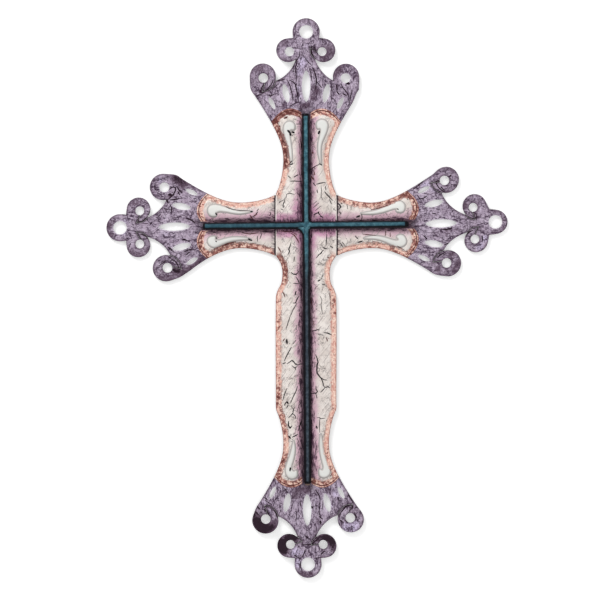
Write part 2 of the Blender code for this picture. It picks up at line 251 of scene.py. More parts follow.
def makeVeins():
    # thin wandering lines that fork and fade
    inputs = {"Size": 4.0, "Width": 0.3, "Coverage": 0.6, "Wide": 1.0, "Tall": 1.0, "Seed": 0.0}
    group, given, mask = newGroup("veins", inputs)
    stretch = put(group, "CombineXYZ", {0: given["Wide"], 1: 1.0, 2: given["Tall"]}).outputs[0]
    place = vector(group, "MULTIPLY", objectPlace(group, given["Seed"]), stretch)
    scale = calc(group, "DIVIDE", 1.0, given["Size"])
    away = calc(group, "ABSOLUTE", calc(group, "SUBTRACT", clouds(group, place, scale, 3.5, 0.6), 0.5))
    thin = times(group, given["Width"], scale, 0.5)
    line = fade(group, away, thin, times(group, thin, 0.3))
    keep = aboveLevel(group, clouds(group, place, times(group, scale, 0.45)), given["Coverage"], 0.70, 0.40, 0.05)
    group.links.new(times(group, line, keep), mask)
    return group


def makeStrokes():
    # short slanted brush marks
    inputs = {"Length": 6.0, "Width": 0.6, "Slant": 0.6, "Coverage": 0.4, "Seed": 0.0}
    group, given, mask = newGroup("strokes", inputs)
    turn = {"Vector": objectPlace(group, given["Seed"]), "Angle": given["Slant"]}
    parts = put(group, "SeparateXYZ", {0: put(group, "VectorRotate", turn, rotation_type="Y_AXIS").outputs[0]}).outputs
    thin = calc(group, "DIVIDE", parts[0], given["Width"])
    long = calc(group, "DIVIDE", parts[2], given["Length"])
    cloud = clouds(group, put(group, "CombineXYZ", {0: thin, 2: long}).outputs[0], 0.5, 3.0, 0.6)
    group.links.new(aboveLevel(group, cloud, given["Coverage"], 0.775, 0.36, 0.035), mask)
    return group


# the plan of the cross, in metres: the same sizes as the solids
plan = {
    "crossingZ": -0.1663,
    "sheet": 0.0012,
    "halfWidth": 0.0260,
    "waistHalf": 0.0196,
    "waistReach": 0.0308,
    "hollowHalf": 0.0204,
    "hollowReach": 0.0160,
    "hollowPower": 2.4,
    "flareSlope": 0.75,
    "flareRounding": 0.0294,
    "rim": 0.0037,
    "foot": 0.003775,
    "pillowHeight": 0.0032,
    "pillowRamp": 0.0080,
    "crest": 0.0133,
    "panelBack": 0.0693,
    "panelRounding": 0.0120,
}

# turn is clockwise from straight up; start is where the panels begin
arms = {
    "top": {"turn": 0, "reach": 0.1663, "waist": 0.0568, "lean": 0.0, "start": 0.003775},
    "right": {"turn": 90, "reach": 0.1628, "waist": 0.0568, "lean": -0.0030, "start": 0.0263},
    "bottom": {"turn": 180, "reach": 0.2913, "waist": 0.1884, "lean": -0.0017, "start": 0.003775},
    "left": {"turn": 270, "reach": 0.1600, "waist": 0.0568, "lean": -0.0021, "start": 0.0263},
}


def smooth(value, low, high):
    share = np.clip((value - low) / (high - low), 0, 1)
    return share * share * (3 - 2 * share)


def toArm(arm, x, z):
    # out from the crossing and clockwise of the axis, with the finial's lean taken off
    turn = radians(arms[arm]["turn"])
    dz = z - plan["crossingZ"]
    out = x * sin(turn) + dz * cos(turn)
    side = x * cos(turn) - dz * sin(turn)
    share = np.clip((out - arms[arm]["waist"]) / (arms[arm]["reach"] - arms[arm]["waist"]), 0, 1)
    return out, side - arms[arm]["lean"] * share


def halfWidth(arm, out):
    waist = arms[arm]["waist"]
    full, narrow = plan["halfWidth"], plan["waistHalf"]
    share = np.clip((waist - out) / plan["waistReach"], 0, 1)
    inner = narrow + (full - narrow) * share**2
    if arm == "bottom":
        share = np.clip(abs(out - plan["halfWidth"] - plan["hollowReach"]) / plan["hollowReach"], 0, 1)
        inner = np.minimum(inner, plan["hollowHalf"] + (full - plan["hollowHalf"]) * share ** plan["hollowPower"])
    bend = plan["flareRounding"]
    outer = narrow + plan["flareSlope"] * (np.hypot(np.maximum(out - waist, 0), bend) - bend)
    return np.where(out >= waist, outer, inner)


def panelEnd(arm, side):
    crest = arms[arm]["reach"] - plan["panelBack"]
    return crest - (abs(side) - plan["crest"]) ** 2 / (2 * plan["panelRounding"])


def pillow(arm, out, side):
    across = (abs(side) - plan["foot"]) / (halfWidth(arm, out) - plan["rim"] - plan["foot"])
    ends = np.minimum(out - arms[arm]["start"], panelEnd(arm, side) - out) / plan["pillowRamp"]
    across, ends = np.clip(across, 0, 1), np.clip(ends, 0, 1)
    return plan["pillowHeight"] * (4 * across * (1 - across)) ** 0.6 * np.sin(ends * pi / 2) ** 0.8


# each line is half its width, then its points; the patches are x, z, radius and darkness, all in mm
blackLines = [
    (0.26, (-8.3, -79.4), (-4.4, -79.4)), (0.39, (-4.8, -93.8), (-4, -97.2), (-4.4, -101.5)),
    (0.34, (-10.4, -125), (-7, -123)), (0.26, (-15.6, -123.9), (-13, -126)),
    (0.34, (-13.8, -128.6), (-10.4, -128.4), (-4, -128.7)),
    (0.34, (2.9, -119.1), (5.9, -117), (8.5, -115.3), (11.1, -114.2)), (0.39, (11.5, -113.5), (13.7, -114.8)),
    (0.39, (8.9, -131.2), (12, -130.3), (16.3, -129.5)), (0.3, (5.9, -129.9), (8.1, -132.5)),
    (0.3, (9.4, -135.9), (9.8, -138.5)), (0.43, (15.8, -137.6), (19.7, -141.9), (22.7, -144.9)),
    (0.26, (20.1, -144.1), (21.8, -148)), (0.19, (12.8, -132.5), (13.2, -135.9), (12.8, -141.9), (14.5, -144.5)),
    (0.24, (16.7, -132.9), (16.9, -135.9)), (0.24, (-16.9, -139.8), (-14.7, -138.8), (-10.4, -139.8)),
    (0.24, (-16.9, -140.2), (-17.3, -142.8), (-19, -144.1)),
    (0.33, (-18.2, -144.5), (-19.9, -148.8), (-19.4, -151.4)),
    (0.22, (-23.3, -147.1), (-21.6, -145.8), (-19, -144.5)), (0.24, (-21.6, -152.3), (-19.9, -153.1)),
    (0.17, (11.1, -147.1), (5.9, -151.4)), (0.17, (12.8, -149.7), (7.7, -154)), (0.17, (9.4, -145.4), (5.9, -148.4)),
    (0.43, (11.1, -154.8), (10.2, -155.7), (12, -157.4)), (0.39, (6.8, -157.4), (9.4, -155.7)),
    (0.43, (12, -158.3), (14.5, -159.6)), (0.47, (27.4, -147.1), (30, -150.5), (28.3, -152.3)),
    (0.34, (29.2, -145.4), (30.9, -148)), (0.34, (28.7, -154.8), (30, -156.6)),
    (0.43, (-13, -181.5), (-13.8, -184.5), (-15, -187.1), (-14.1, -188.4), (-15.6, -191.8)),
    (0.26, (-10, -193.5), (-10.4, -197)), (0.43, (-13, -206.7), (-11.3, -208.2), (-8.7, -208.6), (-6.1, -206)),
    (0.33, (-8.7, -210.7), (-7, -213.3), (-6.1, -215.9)), (0.26, (-11.3, -216.3), (-8.7, -216.3), (-5.2, -216.8)),
    (0.39, (-9.5, -226.2), (-8.7, -223.2)), (0.39, (-11.3, -233.1), (-9.1, -233.1), (-7.8, -229.7), (-6.1, -227.1)),
    (0.24, (-7.8, -233.1), (-11.3, -239.1), (-13.8, -245.2)),
    (0.26, (-13, -242.6), (-15.6, -250.3), (-16.4, -252.9), (-17.3, -256.3)),
    (0.33, (17.8, -173.8), (17.5, -178.9), (17.1, -183.2)), (0.36, (14.1, -184.9), (16.3, -186.7), (18, -186.2)),
    (0.36, (15.4, -187.5), (13.7, -188.8), (12.8, -190.5), (10.7, -191.8), (8.9, -194.4)),
    (0.33, (20.6, -184.1), (23.1, -185.8)), (0.52, (10.2, -214.2), (12, -213.3)),
    (0.28, (13.7, -217.2), (16.3, -217.2)), (0.24, (14.5, -208.2), (13.2, -212.5)),
    (0.19, (12, -227.1), (13.7, -230.5), (12.8, -234.8), (13.7, -240), (14.5, -242.6)),
    (0.39, (5.5, -257.2), (7.7, -256.8), (9.8, -255.9), (11.5, -256.3)),
    (0.43, (15.4, -258.5), (18.4, -258.9), (21.4, -260.2), (23.1, -261.5)), (0.19, (10.2, -260.2), (14.5, -260.5)),
    (0.52, (8.1, -277.4), (9.4, -280.4), (10.2, -283.9), (9.4, -286.4), (9.2, -290.7), (9.4, -293.3), (11.1, -295.5),
     (12.4, -297.2), (15, -298.9), (18, -299.3)),
    (0.36, (12.4, -297.2), (14.1, -300.2), (15, -304.1), (16.3, -305.8)),
    (0.33, (16.3, -305.6), (18.8, -304.9), (20.6, -306.2)), (0.33, (16.3, -305.8), (13.7, -308.4), (12.4, -309.7)),
    (0.39, (4.2, -311.1), (6.8, -310.5), (8.5, -310.5), (9.8, -309.2), (8.5, -307.1), (8.5, -304.5)),
    (0.24, (8.5, -311.4), (9.4, -314.8)), (0.24, (9.4, -331.6), (12, -331.2), (11.5, -335.5), (11.5, -344.1)),
    (0.22, (12, -332.5), (16.3, -332)), (0.6, (8.9, -338.9), (9.4, -340.6)), (0.73, (-16.7, -264.1), (-16.3, -268.4)),
    (0.39, (-12.6, -271), (-15.1, -275.3), (-17.3, -279.6), (-18.8, -283)), (0.36, (-19.9, -285.2), (-17.7, -284.3)),
    (0.41, (-16.4, -285.3), (-14.3, -283.9), (-12.1, -282.3), (-10.4, -283.9), (-9.1, -285.6), (-7, -286.4),
     (-5.2, -285.4), (-3.5, -285.6)),
    (0.3, (-12.1, -286.9), (-9.5, -289), (-8.7, -290.7)), (0.3, (-9.5, -288.6), (-7.8, -287.7)),
    (0.19, (-8.7, -264.9), (-11.3, -268.4)), (0.33, (-16.4, -306.2), (-18.6, -311.4), (-20, -316.6)),
    (0.33, (-7.4, -304.5), (-8.7, -308.8), (-11.3, -314), (-13.4, -319.1)), (0.65, (-16.4, -317.8), (-15.6, -319.1)),
    (0.39, (-18.6, -320.9), (-17.3, -318.3)), (0.3, (-16.9, -323.4), (-15.6, -320.9)),
    (0.33, (-12.6, -322.1), (-10.8, -324.3), (-11.3, -327.7), (-15.1, -331.6)),
    (0.36, (-11.3, -328.2), (-9.5, -329.9), (-8.7, -332)),
    (0.56, (-15.1, -334.6), (-15.3, -338.1), (-13.8, -340.6), (-12.1, -338.5)),
    (0.43, (-4, -334.6), (-5.7, -338.9), (-6.5, -342.4)), (0.24, (-6.1, -327.7), (-3.5, -326.4)),
    (0.65, (-15.1, -347.5), (-13.4, -349.2)), (0.39, (-12.1, -348.4), (-9.5, -347.1), (-7, -345.8)),
    (0.19, (-3.5, -316.6), (-6.1, -320.9), (-7.8, -326)), (0.19, (-7.8, -349.2), (-6.1, -352.7)),
    (0.24, (-42.2, -154), (-40.9, -152.3)), (0.24, (-43.1, -156.6), (-41.4, -154.8)),
    (0.28, (-31.1, -154.8), (-30.2, -156.6), (-31.9, -158.3)),
    (0.28, (-39, -171.2), (-38.4, -174.6), (-39.7, -178.1)), (0.28, (-41.8, -175.5), (-41.8, -180.2)),
    (0.6, (44.4, -181), (46.4, -180.6), (48.5, -179.8)), (0.34, (42.1, -175.5), (44.6, -178.1)),
    (0.3, (29.2, -181.5), (31.7, -184.9)), (0.24, (30.9, -180.6), (33.5, -184.1)),
    (0.3, (47.7, -156.6), (48.1, -160), (46.8, -162.6)), (0.69, (43.4, -159.3), (45.9, -158.3)),
    (0.17, (35.2, -148), (35.6, -152.3)), (0.17, (38.6, -149.7), (38.6, -153.1)),
    (0.17, (41.2, -147.1), (41.6, -150.5)), (0.86, (-15.6, -85.2), (-14.3, -86.5)),
    (1.12, (-13.6, -87.7), (-13.3, -88.8)), (0.86, (-12, -86.2), (-10.4, -86.9)),
    (0.86, (11.4, -85.8), (10.7, -87.6)), (0.65, (-13.5, -374.4), (-13.8, -377)),
    (0.52, (-77.7, -156.1), (-76.6, -157.4)), (0.65, (-47.4, -154.6), (-46.3, -154.7)),
    (0.65, (-77.3, -177.2), (-76.6, -177.4)), (0.6, (-77.4, -180), (-77, -180.3)),
    (0.65, (-49.5, -178.1), (-48.1, -178.8), (-46.7, -179.4)), (0.52, (78.4, -152.3), (79.1, -152.7)),
    (0.43, (-16.4, -115.3), (-13.8, -112.7), (-12.1, -111)), (0.39, (-13.8, -114.4), (-11.3, -113.5)),
    (0.24, (-63.7, -152.7), (-56.9, -153.5), (-48.3, -154)), (0.26, (-71.5, -148.4), (-66.3, -151.8), (-62, -153.1)),
]
brownLines = [
    (0.77, (-18.6, -74.4), (-16.4, -73.4)), (0.52, (-22.9, -80.9), (-22.5, -84.3)),
    (0.43, (-19.9, -127.7), (-19.7, -129.9)), (0.3, (-23.3, -171.2), (-18.2, -171.6), (-12.1, -172), (-7.8, -174.6)),
    (0.47, (-13, -173.3), (-10.4, -174.6), (-7.8, -178.1), (-6.1, -181.5)),
    (0.47, (-20.7, -222.8), (-19, -225.4), (-18.2, -228)), (0.6, (18, -193.5), (21.4, -194.8), (23.1, -191.8)),
    (0.39, (16.3, -218.5), (21.4, -218.9)), (0.43, (20, -224.5), (21, -230.5), (21.4, -237.4), (21.8, -242.6)),
    (0.39, (-19.9, -265.8), (-18.6, -264.1)), (0.39, (16.7, -344.9), (18, -347.5), (18.8, -349.2)),
    (0.33, (17.5, -333.8), (18, -335.9)), (0.39, (17.5, -263.2), (18.4, -265.8)),
    (0.43, (-44.8, -158.3), (-42.2, -156.6)), (0.43, (-48.3, -157.4), (-46.1, -160.9)),
    (0.39, (-55.1, -172.9), (-48.3, -173.8), (-41.4, -172.9)),
    (0.65, (-79.2, -186.7), (-73.2, -184.9), (-68, -182.4), (-62.9, -180.9), (-60.3, -180.6)),
    (0.43, (-63.7, -184.1), (-56.9, -183.2), (-49.1, -182.8), (-44.8, -181.9)),
    (0.39, (-47.8, -182.4), (-48.7, -184.9)), (0.43, (-78.4, -141.9), (-74.9, -144.9), (-71.5, -148.4)),
    (0.39, (-86.1, -138.5), (-81.8, -141.9)), (0.39, (55.8, -153.1), (61.8, -151.8), (68.7, -149.7), (73, -147.5)),
    (0.3, (56.7, -179.8), (63.6, -181.9), (68.7, -183.2)), (0.3, (68.3, -171.2), (68.3, -175.5)),
    (0.24, (72.2, -172.9), (72.2, -176.3)), (0.3, (48.1, -173.8), (55, -174.6), (60.1, -175.1)),
    (0.52, (4.2, -123.9), (6.4, -127.3)), (0.43, (6.8, -120.4), (7.2, -123)), (0.43, (5.1, -103.2), (5.9, -104.9)),
    (0.43, (-24.2, -184.9), (-21.6, -189.2)), (0.52, (-20.7, -191.8), (-19.9, -197)),
    (0.6, (-19.4, -199.6), (-19, -204.7), (-18.6, -209.9)), (0.52, (-17.3, -201.3), (-16, -206.4)),
    (0.43, (-24.6, -223.7), (-24.6, -230.5)), (0.34, (-22, -230.5), (-22, -236.6)),
    (0.34, (-24.2, -247.7), (-23.3, -252.9)), (0.43, (-23.7, -308), (-23.3, -314.8)),
    (0.52, (-22.5, -319.1), (-20.7, -326)), (0.47, (-19, -328.6), (-18.2, -334.6)),
    (0.43, (-19.4, -368.2), (-21.2, -375)), (0.43, (-18.2, -357.8), (-18.6, -364.7)),
    (0.43, (23.6, -376.8), (25.3, -381.1)), (0.34, (20.6, -381.9), (23.1, -379.3)),
    (0.34, (4.2, -228), (5.1, -235.7)), (0.3, (6.4, -248.6), (6.8, -253.8)), (0.34, (78.2, -184.1), (84.2, -187.5)),
    (0.34, (84.2, -140.2), (87.7, -144.5)),
]
finialLines = [
    (0.43, (4.6, -12.9), (4.5, -15.5), (5.1, -18.9), (6.4, -21.5), (7.7, -23.2)),
    (0.39, (5.1, -12.9), (6.8, -13.3), (8.1, -14.6)),
    (0.34, (-5.7, -17.2), (-5.7, -20.6), (-7.4, -23.7), (-10, -26.7), (-11.3, -30.1), (-10.8, -34.4)),
    (0.26, (-7.8, -24.1), (-8.7, -28.4), (-9.1, -34.4), (-8.3, -40.4), (-8.7, -43)),
    (0.43, (-14.3, -41.7), (-11.3, -43), (-9.1, -45.2), (-8.3, -49.9), (-7, -55.1), (-6.5, -60.2)),
    (0.28, (-6.5, -60.2), (-9.5, -61.5), (-13.8, -63.7)),
    (0.33, (-16.4, -41.3), (-13.8, -46.5), (-12.1, -53.3), (-11.3, -59.4)),
    (0.34, (-24.6, -42.1), (-19.9, -41.3), (-18.2, -40.9)),
    (0.47, (5.9, -31), (7.7, -36.1), (8.9, -40.4), (8.5, -46.5), (7.7, -49.9)),
    (0.26, (9.4, -43), (12, -46.5), (13.7, -48.2)), (0.26, (-1.8, -21.5), (1.6, -25.8), (5.1, -29.2)),
    (0.24, (-12.1, -13.8), (-5.7, -14.2)),
    (0.47, (-36.2, -45.2), (-38.4, -48.2), (-39.4, -51.6), (-37.9, -52.9), (-33.6, -49.9), (-30.2, -45.6),
     (-28.5, -42.6)),
    (0.33, (-42.2, -54.6), (-37.9, -54.2)), (0.33, (-33.6, -54.2), (-30.2, -55.1), (-26.8, -53.3)),
    (0.19, (-29.3, -49.9), (-26.8, -47.3), (-23.3, -44.7)), (1.03, (35.2, -44.1), (36.9, -44.7)),
    (0.39, (25.7, -45.6), (27.4, -49.9)), (0.33, (30, -44.7), (31.7, -48.2), (35.2, -52.5), (36.9, -55.9)),
    (0.47, (26.6, -51.6), (28.3, -53.8)), (0.47, (31.7, -53.3), (34.3, -54.6)),
    (0.34, (39.5, -49.9), (38.6, -54.2), (37.8, -58.5), (36.9, -62.8)),
    (0.24, (22.3, -46.5), (21.4, -51.6), (21.8, -58.5)), (0.24, (14.5, -9.5), (14.1, -6)),
    (0.26, (2.5, -30.1), (4.2, -36.1), (5.1, -43)), (0.77, (4.7, -408.3), (4.9, -408.9)),
    (0.34, (-5.2, -404.3), (-4.4, -407.7)), (0.39, (8.5, -394), (11.1, -398.3), (12, -401.7)),
    (0.26, (12, -403.4), (11.1, -412.9), (12.8, -418.1)), (0.19, (5.9, -402.6), (5.9, -412.9)),
    (0.19, (8.5, -404.3), (8.5, -414.6)), (0.19, (14.5, -402.6), (14.1, -409.5)),
    (0.77, (12.2, -420.6), (12.6, -422.4)), (0.39, (11.1, -416.3), (14.5, -418.9)),
    (0.28, (-19.9, -391.4), (-17.3, -394), (-15.6, -396.6)),
    (0.28, (-35.4, -402.6), (-31.1, -405.2), (-29.3, -406.9)), (0.24, (-36.2, -400), (-32.8, -402.6)),
    (0.47, (-35.8, -408.6), (-32.8, -406.9), (-28.5, -409.5), (-25.9, -413.8), (-24.6, -418.1)),
    (0.43, (-36.2, -410.3), (-33.6, -412), (-31.9, -414.6), (-31.1, -417.2)),
    (0.43, (-42.2, -407.7), (-39.7, -410.3)), (0.47, (-44, -412), (-40.5, -415.5)),
    (0.47, (28.3, -417.2), (30, -412.9), (33.5, -408.6), (37.8, -406.4), (40.3, -407.3), (39.5, -410.3)),
    (0.33, (42.1, -408.6), (46.4, -409.5)), (0.33, (41.2, -412.9), (43.8, -418.1)),
    (0.43, (29.2, -419.8), (31.7, -421.5)), (0.6, (34.3, -420), (34.8, -420.5)),
    (0.34, (-3.5, -440.4), (-0.1, -440.9), (4.2, -440.4), (5.9, -438.7)),
    (0.47, (5.1, -440.9), (7.7, -437.8), (11.1, -434.8)), (0.33, (-0.5, -444.7), (-1.8, -448.2), (-3.5, -451.6)),
    (0.34, (-10.4, -449.9), (-7, -451.6), (-4.4, -453.3)), (0.39, (-4.8, -455), (-5.2, -459.3), (-3.5, -462.8)),
    (0.47, (12.8, -449), (14.5, -447.3), (16.3, -446.4)), (0.28, (6.8, -452.5), (10.2, -452), (12.8, -451.6)),
    (0.6, (-0.1, -433.5), (1.6, -435.3)), (0.6, (8.3, -432.3), (8.7, -433.5)), (0.39, (36, -397.4), (38.6, -401.7)),
    (0.3, (37.8, -400), (40.3, -405.2)), (0.24, (27.4, -400), (29.2, -404.3)),
    (0.19, (-12.1, -398.3), (-12.1, -409.5)), (0.19, (-8.7, -409.5), (-8.3, -419.8)),
    (0.43, (-143.7, -161.7), (-144.2, -163.4), (-141.2, -163), (-137.7, -160.9), (-135.1, -158.3), (-134.4, -154)),
    (0.43, (-143.7, -174.6), (-141.2, -174.2), (-137.7, -175.5), (-135.1, -178.5)),
    (0.36, (-143.3, -176.3), (-141.6, -178.1)), (0.6, (-154.1, -177.2), (-153.5, -177.7)),
    (0.33, (-134.3, -165.2), (-132.6, -164.3)),
    (0.47, (-117.9, -135.5), (-115.4, -133.8), (-113.2, -133.3), (-112.1, -135.1), (-112.8, -137.6), (-114.5, -140.2),
     (-117.1, -142.8), (-119.2, -144.5)),
    (0.95, (-117.9, -139.8), (-115.8, -140.2)), (0.69, (-119.8, -144.5), (-118.8, -146.7)),
    (0.43, (-111.1, -133.3), (-109.3, -135.9), (-106.8, -138.1)), (0.34, (-110.2, -137.6), (-108.5, -140.2)),
    (0.52, (-117.1, -144.5), (-112.8, -144.1), (-108.9, -143.2)),
    (0.33, (-117.1, -148.8), (-115.4, -151.4), (-116.2, -155.7)), (0.28, (-122.2, -152.3), (-117.9, -152.3)),
    (0.24, (-124.8, -156.6), (-127.4, -159.1), (-129.1, -160)),
    (0.6, (-118.8, -184.9), (-116.2, -186.7), (-115.4, -188.4)),
    (0.43, (-116.2, -195.3), (-112.8, -197), (-110.2, -200.4), (-108.9, -204.7)),
    (0.39, (-118.4, -193.5), (-116.2, -194.4)), (0.28, (-126.5, -201.3), (-124, -199.1), (-120.5, -196.6)),
    (0.24, (-124.8, -204.7), (-121.4, -202.1)), (0.95, (-115.4, -203.4), (-111.9, -206), (-109.3, -206.4)),
    (0.52, (-103.3, -160.4), (-99.9, -161.3), (-97.3, -162.6), (-95.6, -164.3)),
    (0.69, (-105.9, -178.3), (-103.3, -178.9)), (0.52, (-101.6, -179.8), (-100.7, -180.1)),
    (0.39, (-105, -189.2), (-101.6, -187.5), (-98.1, -186.7)), (0.39, (-103.3, -191.8), (-99.9, -189.2)),
    (0.26, (-130, -130.8), (-130, -135.9)),
    (0.43, (115.6, -129), (113.5, -127.6), (111.6, -128.6), (112.2, -130.8), (114.3, -134.2), (116.9, -136.3),
     (119.5, -138.1)),
    (0.39, (116, -133.3), (118.6, -135.9)), (0.52, (124.6, -123), (123.4, -124.7)),
    (0.34, (104.9, -123.4), (101.4, -127.3), (97.1, -131.6), (92, -135.5)),
    (0.6, (122.1, -145.4), (125.5, -149.7), (128.9, -152.7), (132.4, -154.8)),
    (0.39, (95.4, -140.2), (98, -143.7), (101.4, -142.8), (104, -141.1)),
    (0.52, (116, -169.5), (120.3, -169.9), (125.5, -168.6)),
    (0.47, (135, -154.8), (137.5, -157.8), (141, -160.4), (144.4, -160.9), (147, -159.1), (146.1, -156.6)),
    (0.47, (138, -174.6), (140.1, -172), (143.6, -170.7)), (0.52, (151.3, -175.5), (151.7, -178.9)),
    (0.47, (113, -194), (115.2, -191.8), (119.5, -189.7)), (0.39, (101.4, -175.5), (104, -178.1)),
    (0.39, (118.6, -183.2), (122.9, -181.5)), (0.34, (108.3, -155.7), (111.7, -156.6)),
    (0.26, (128.9, -130.8), (129.8, -134.2)),
]
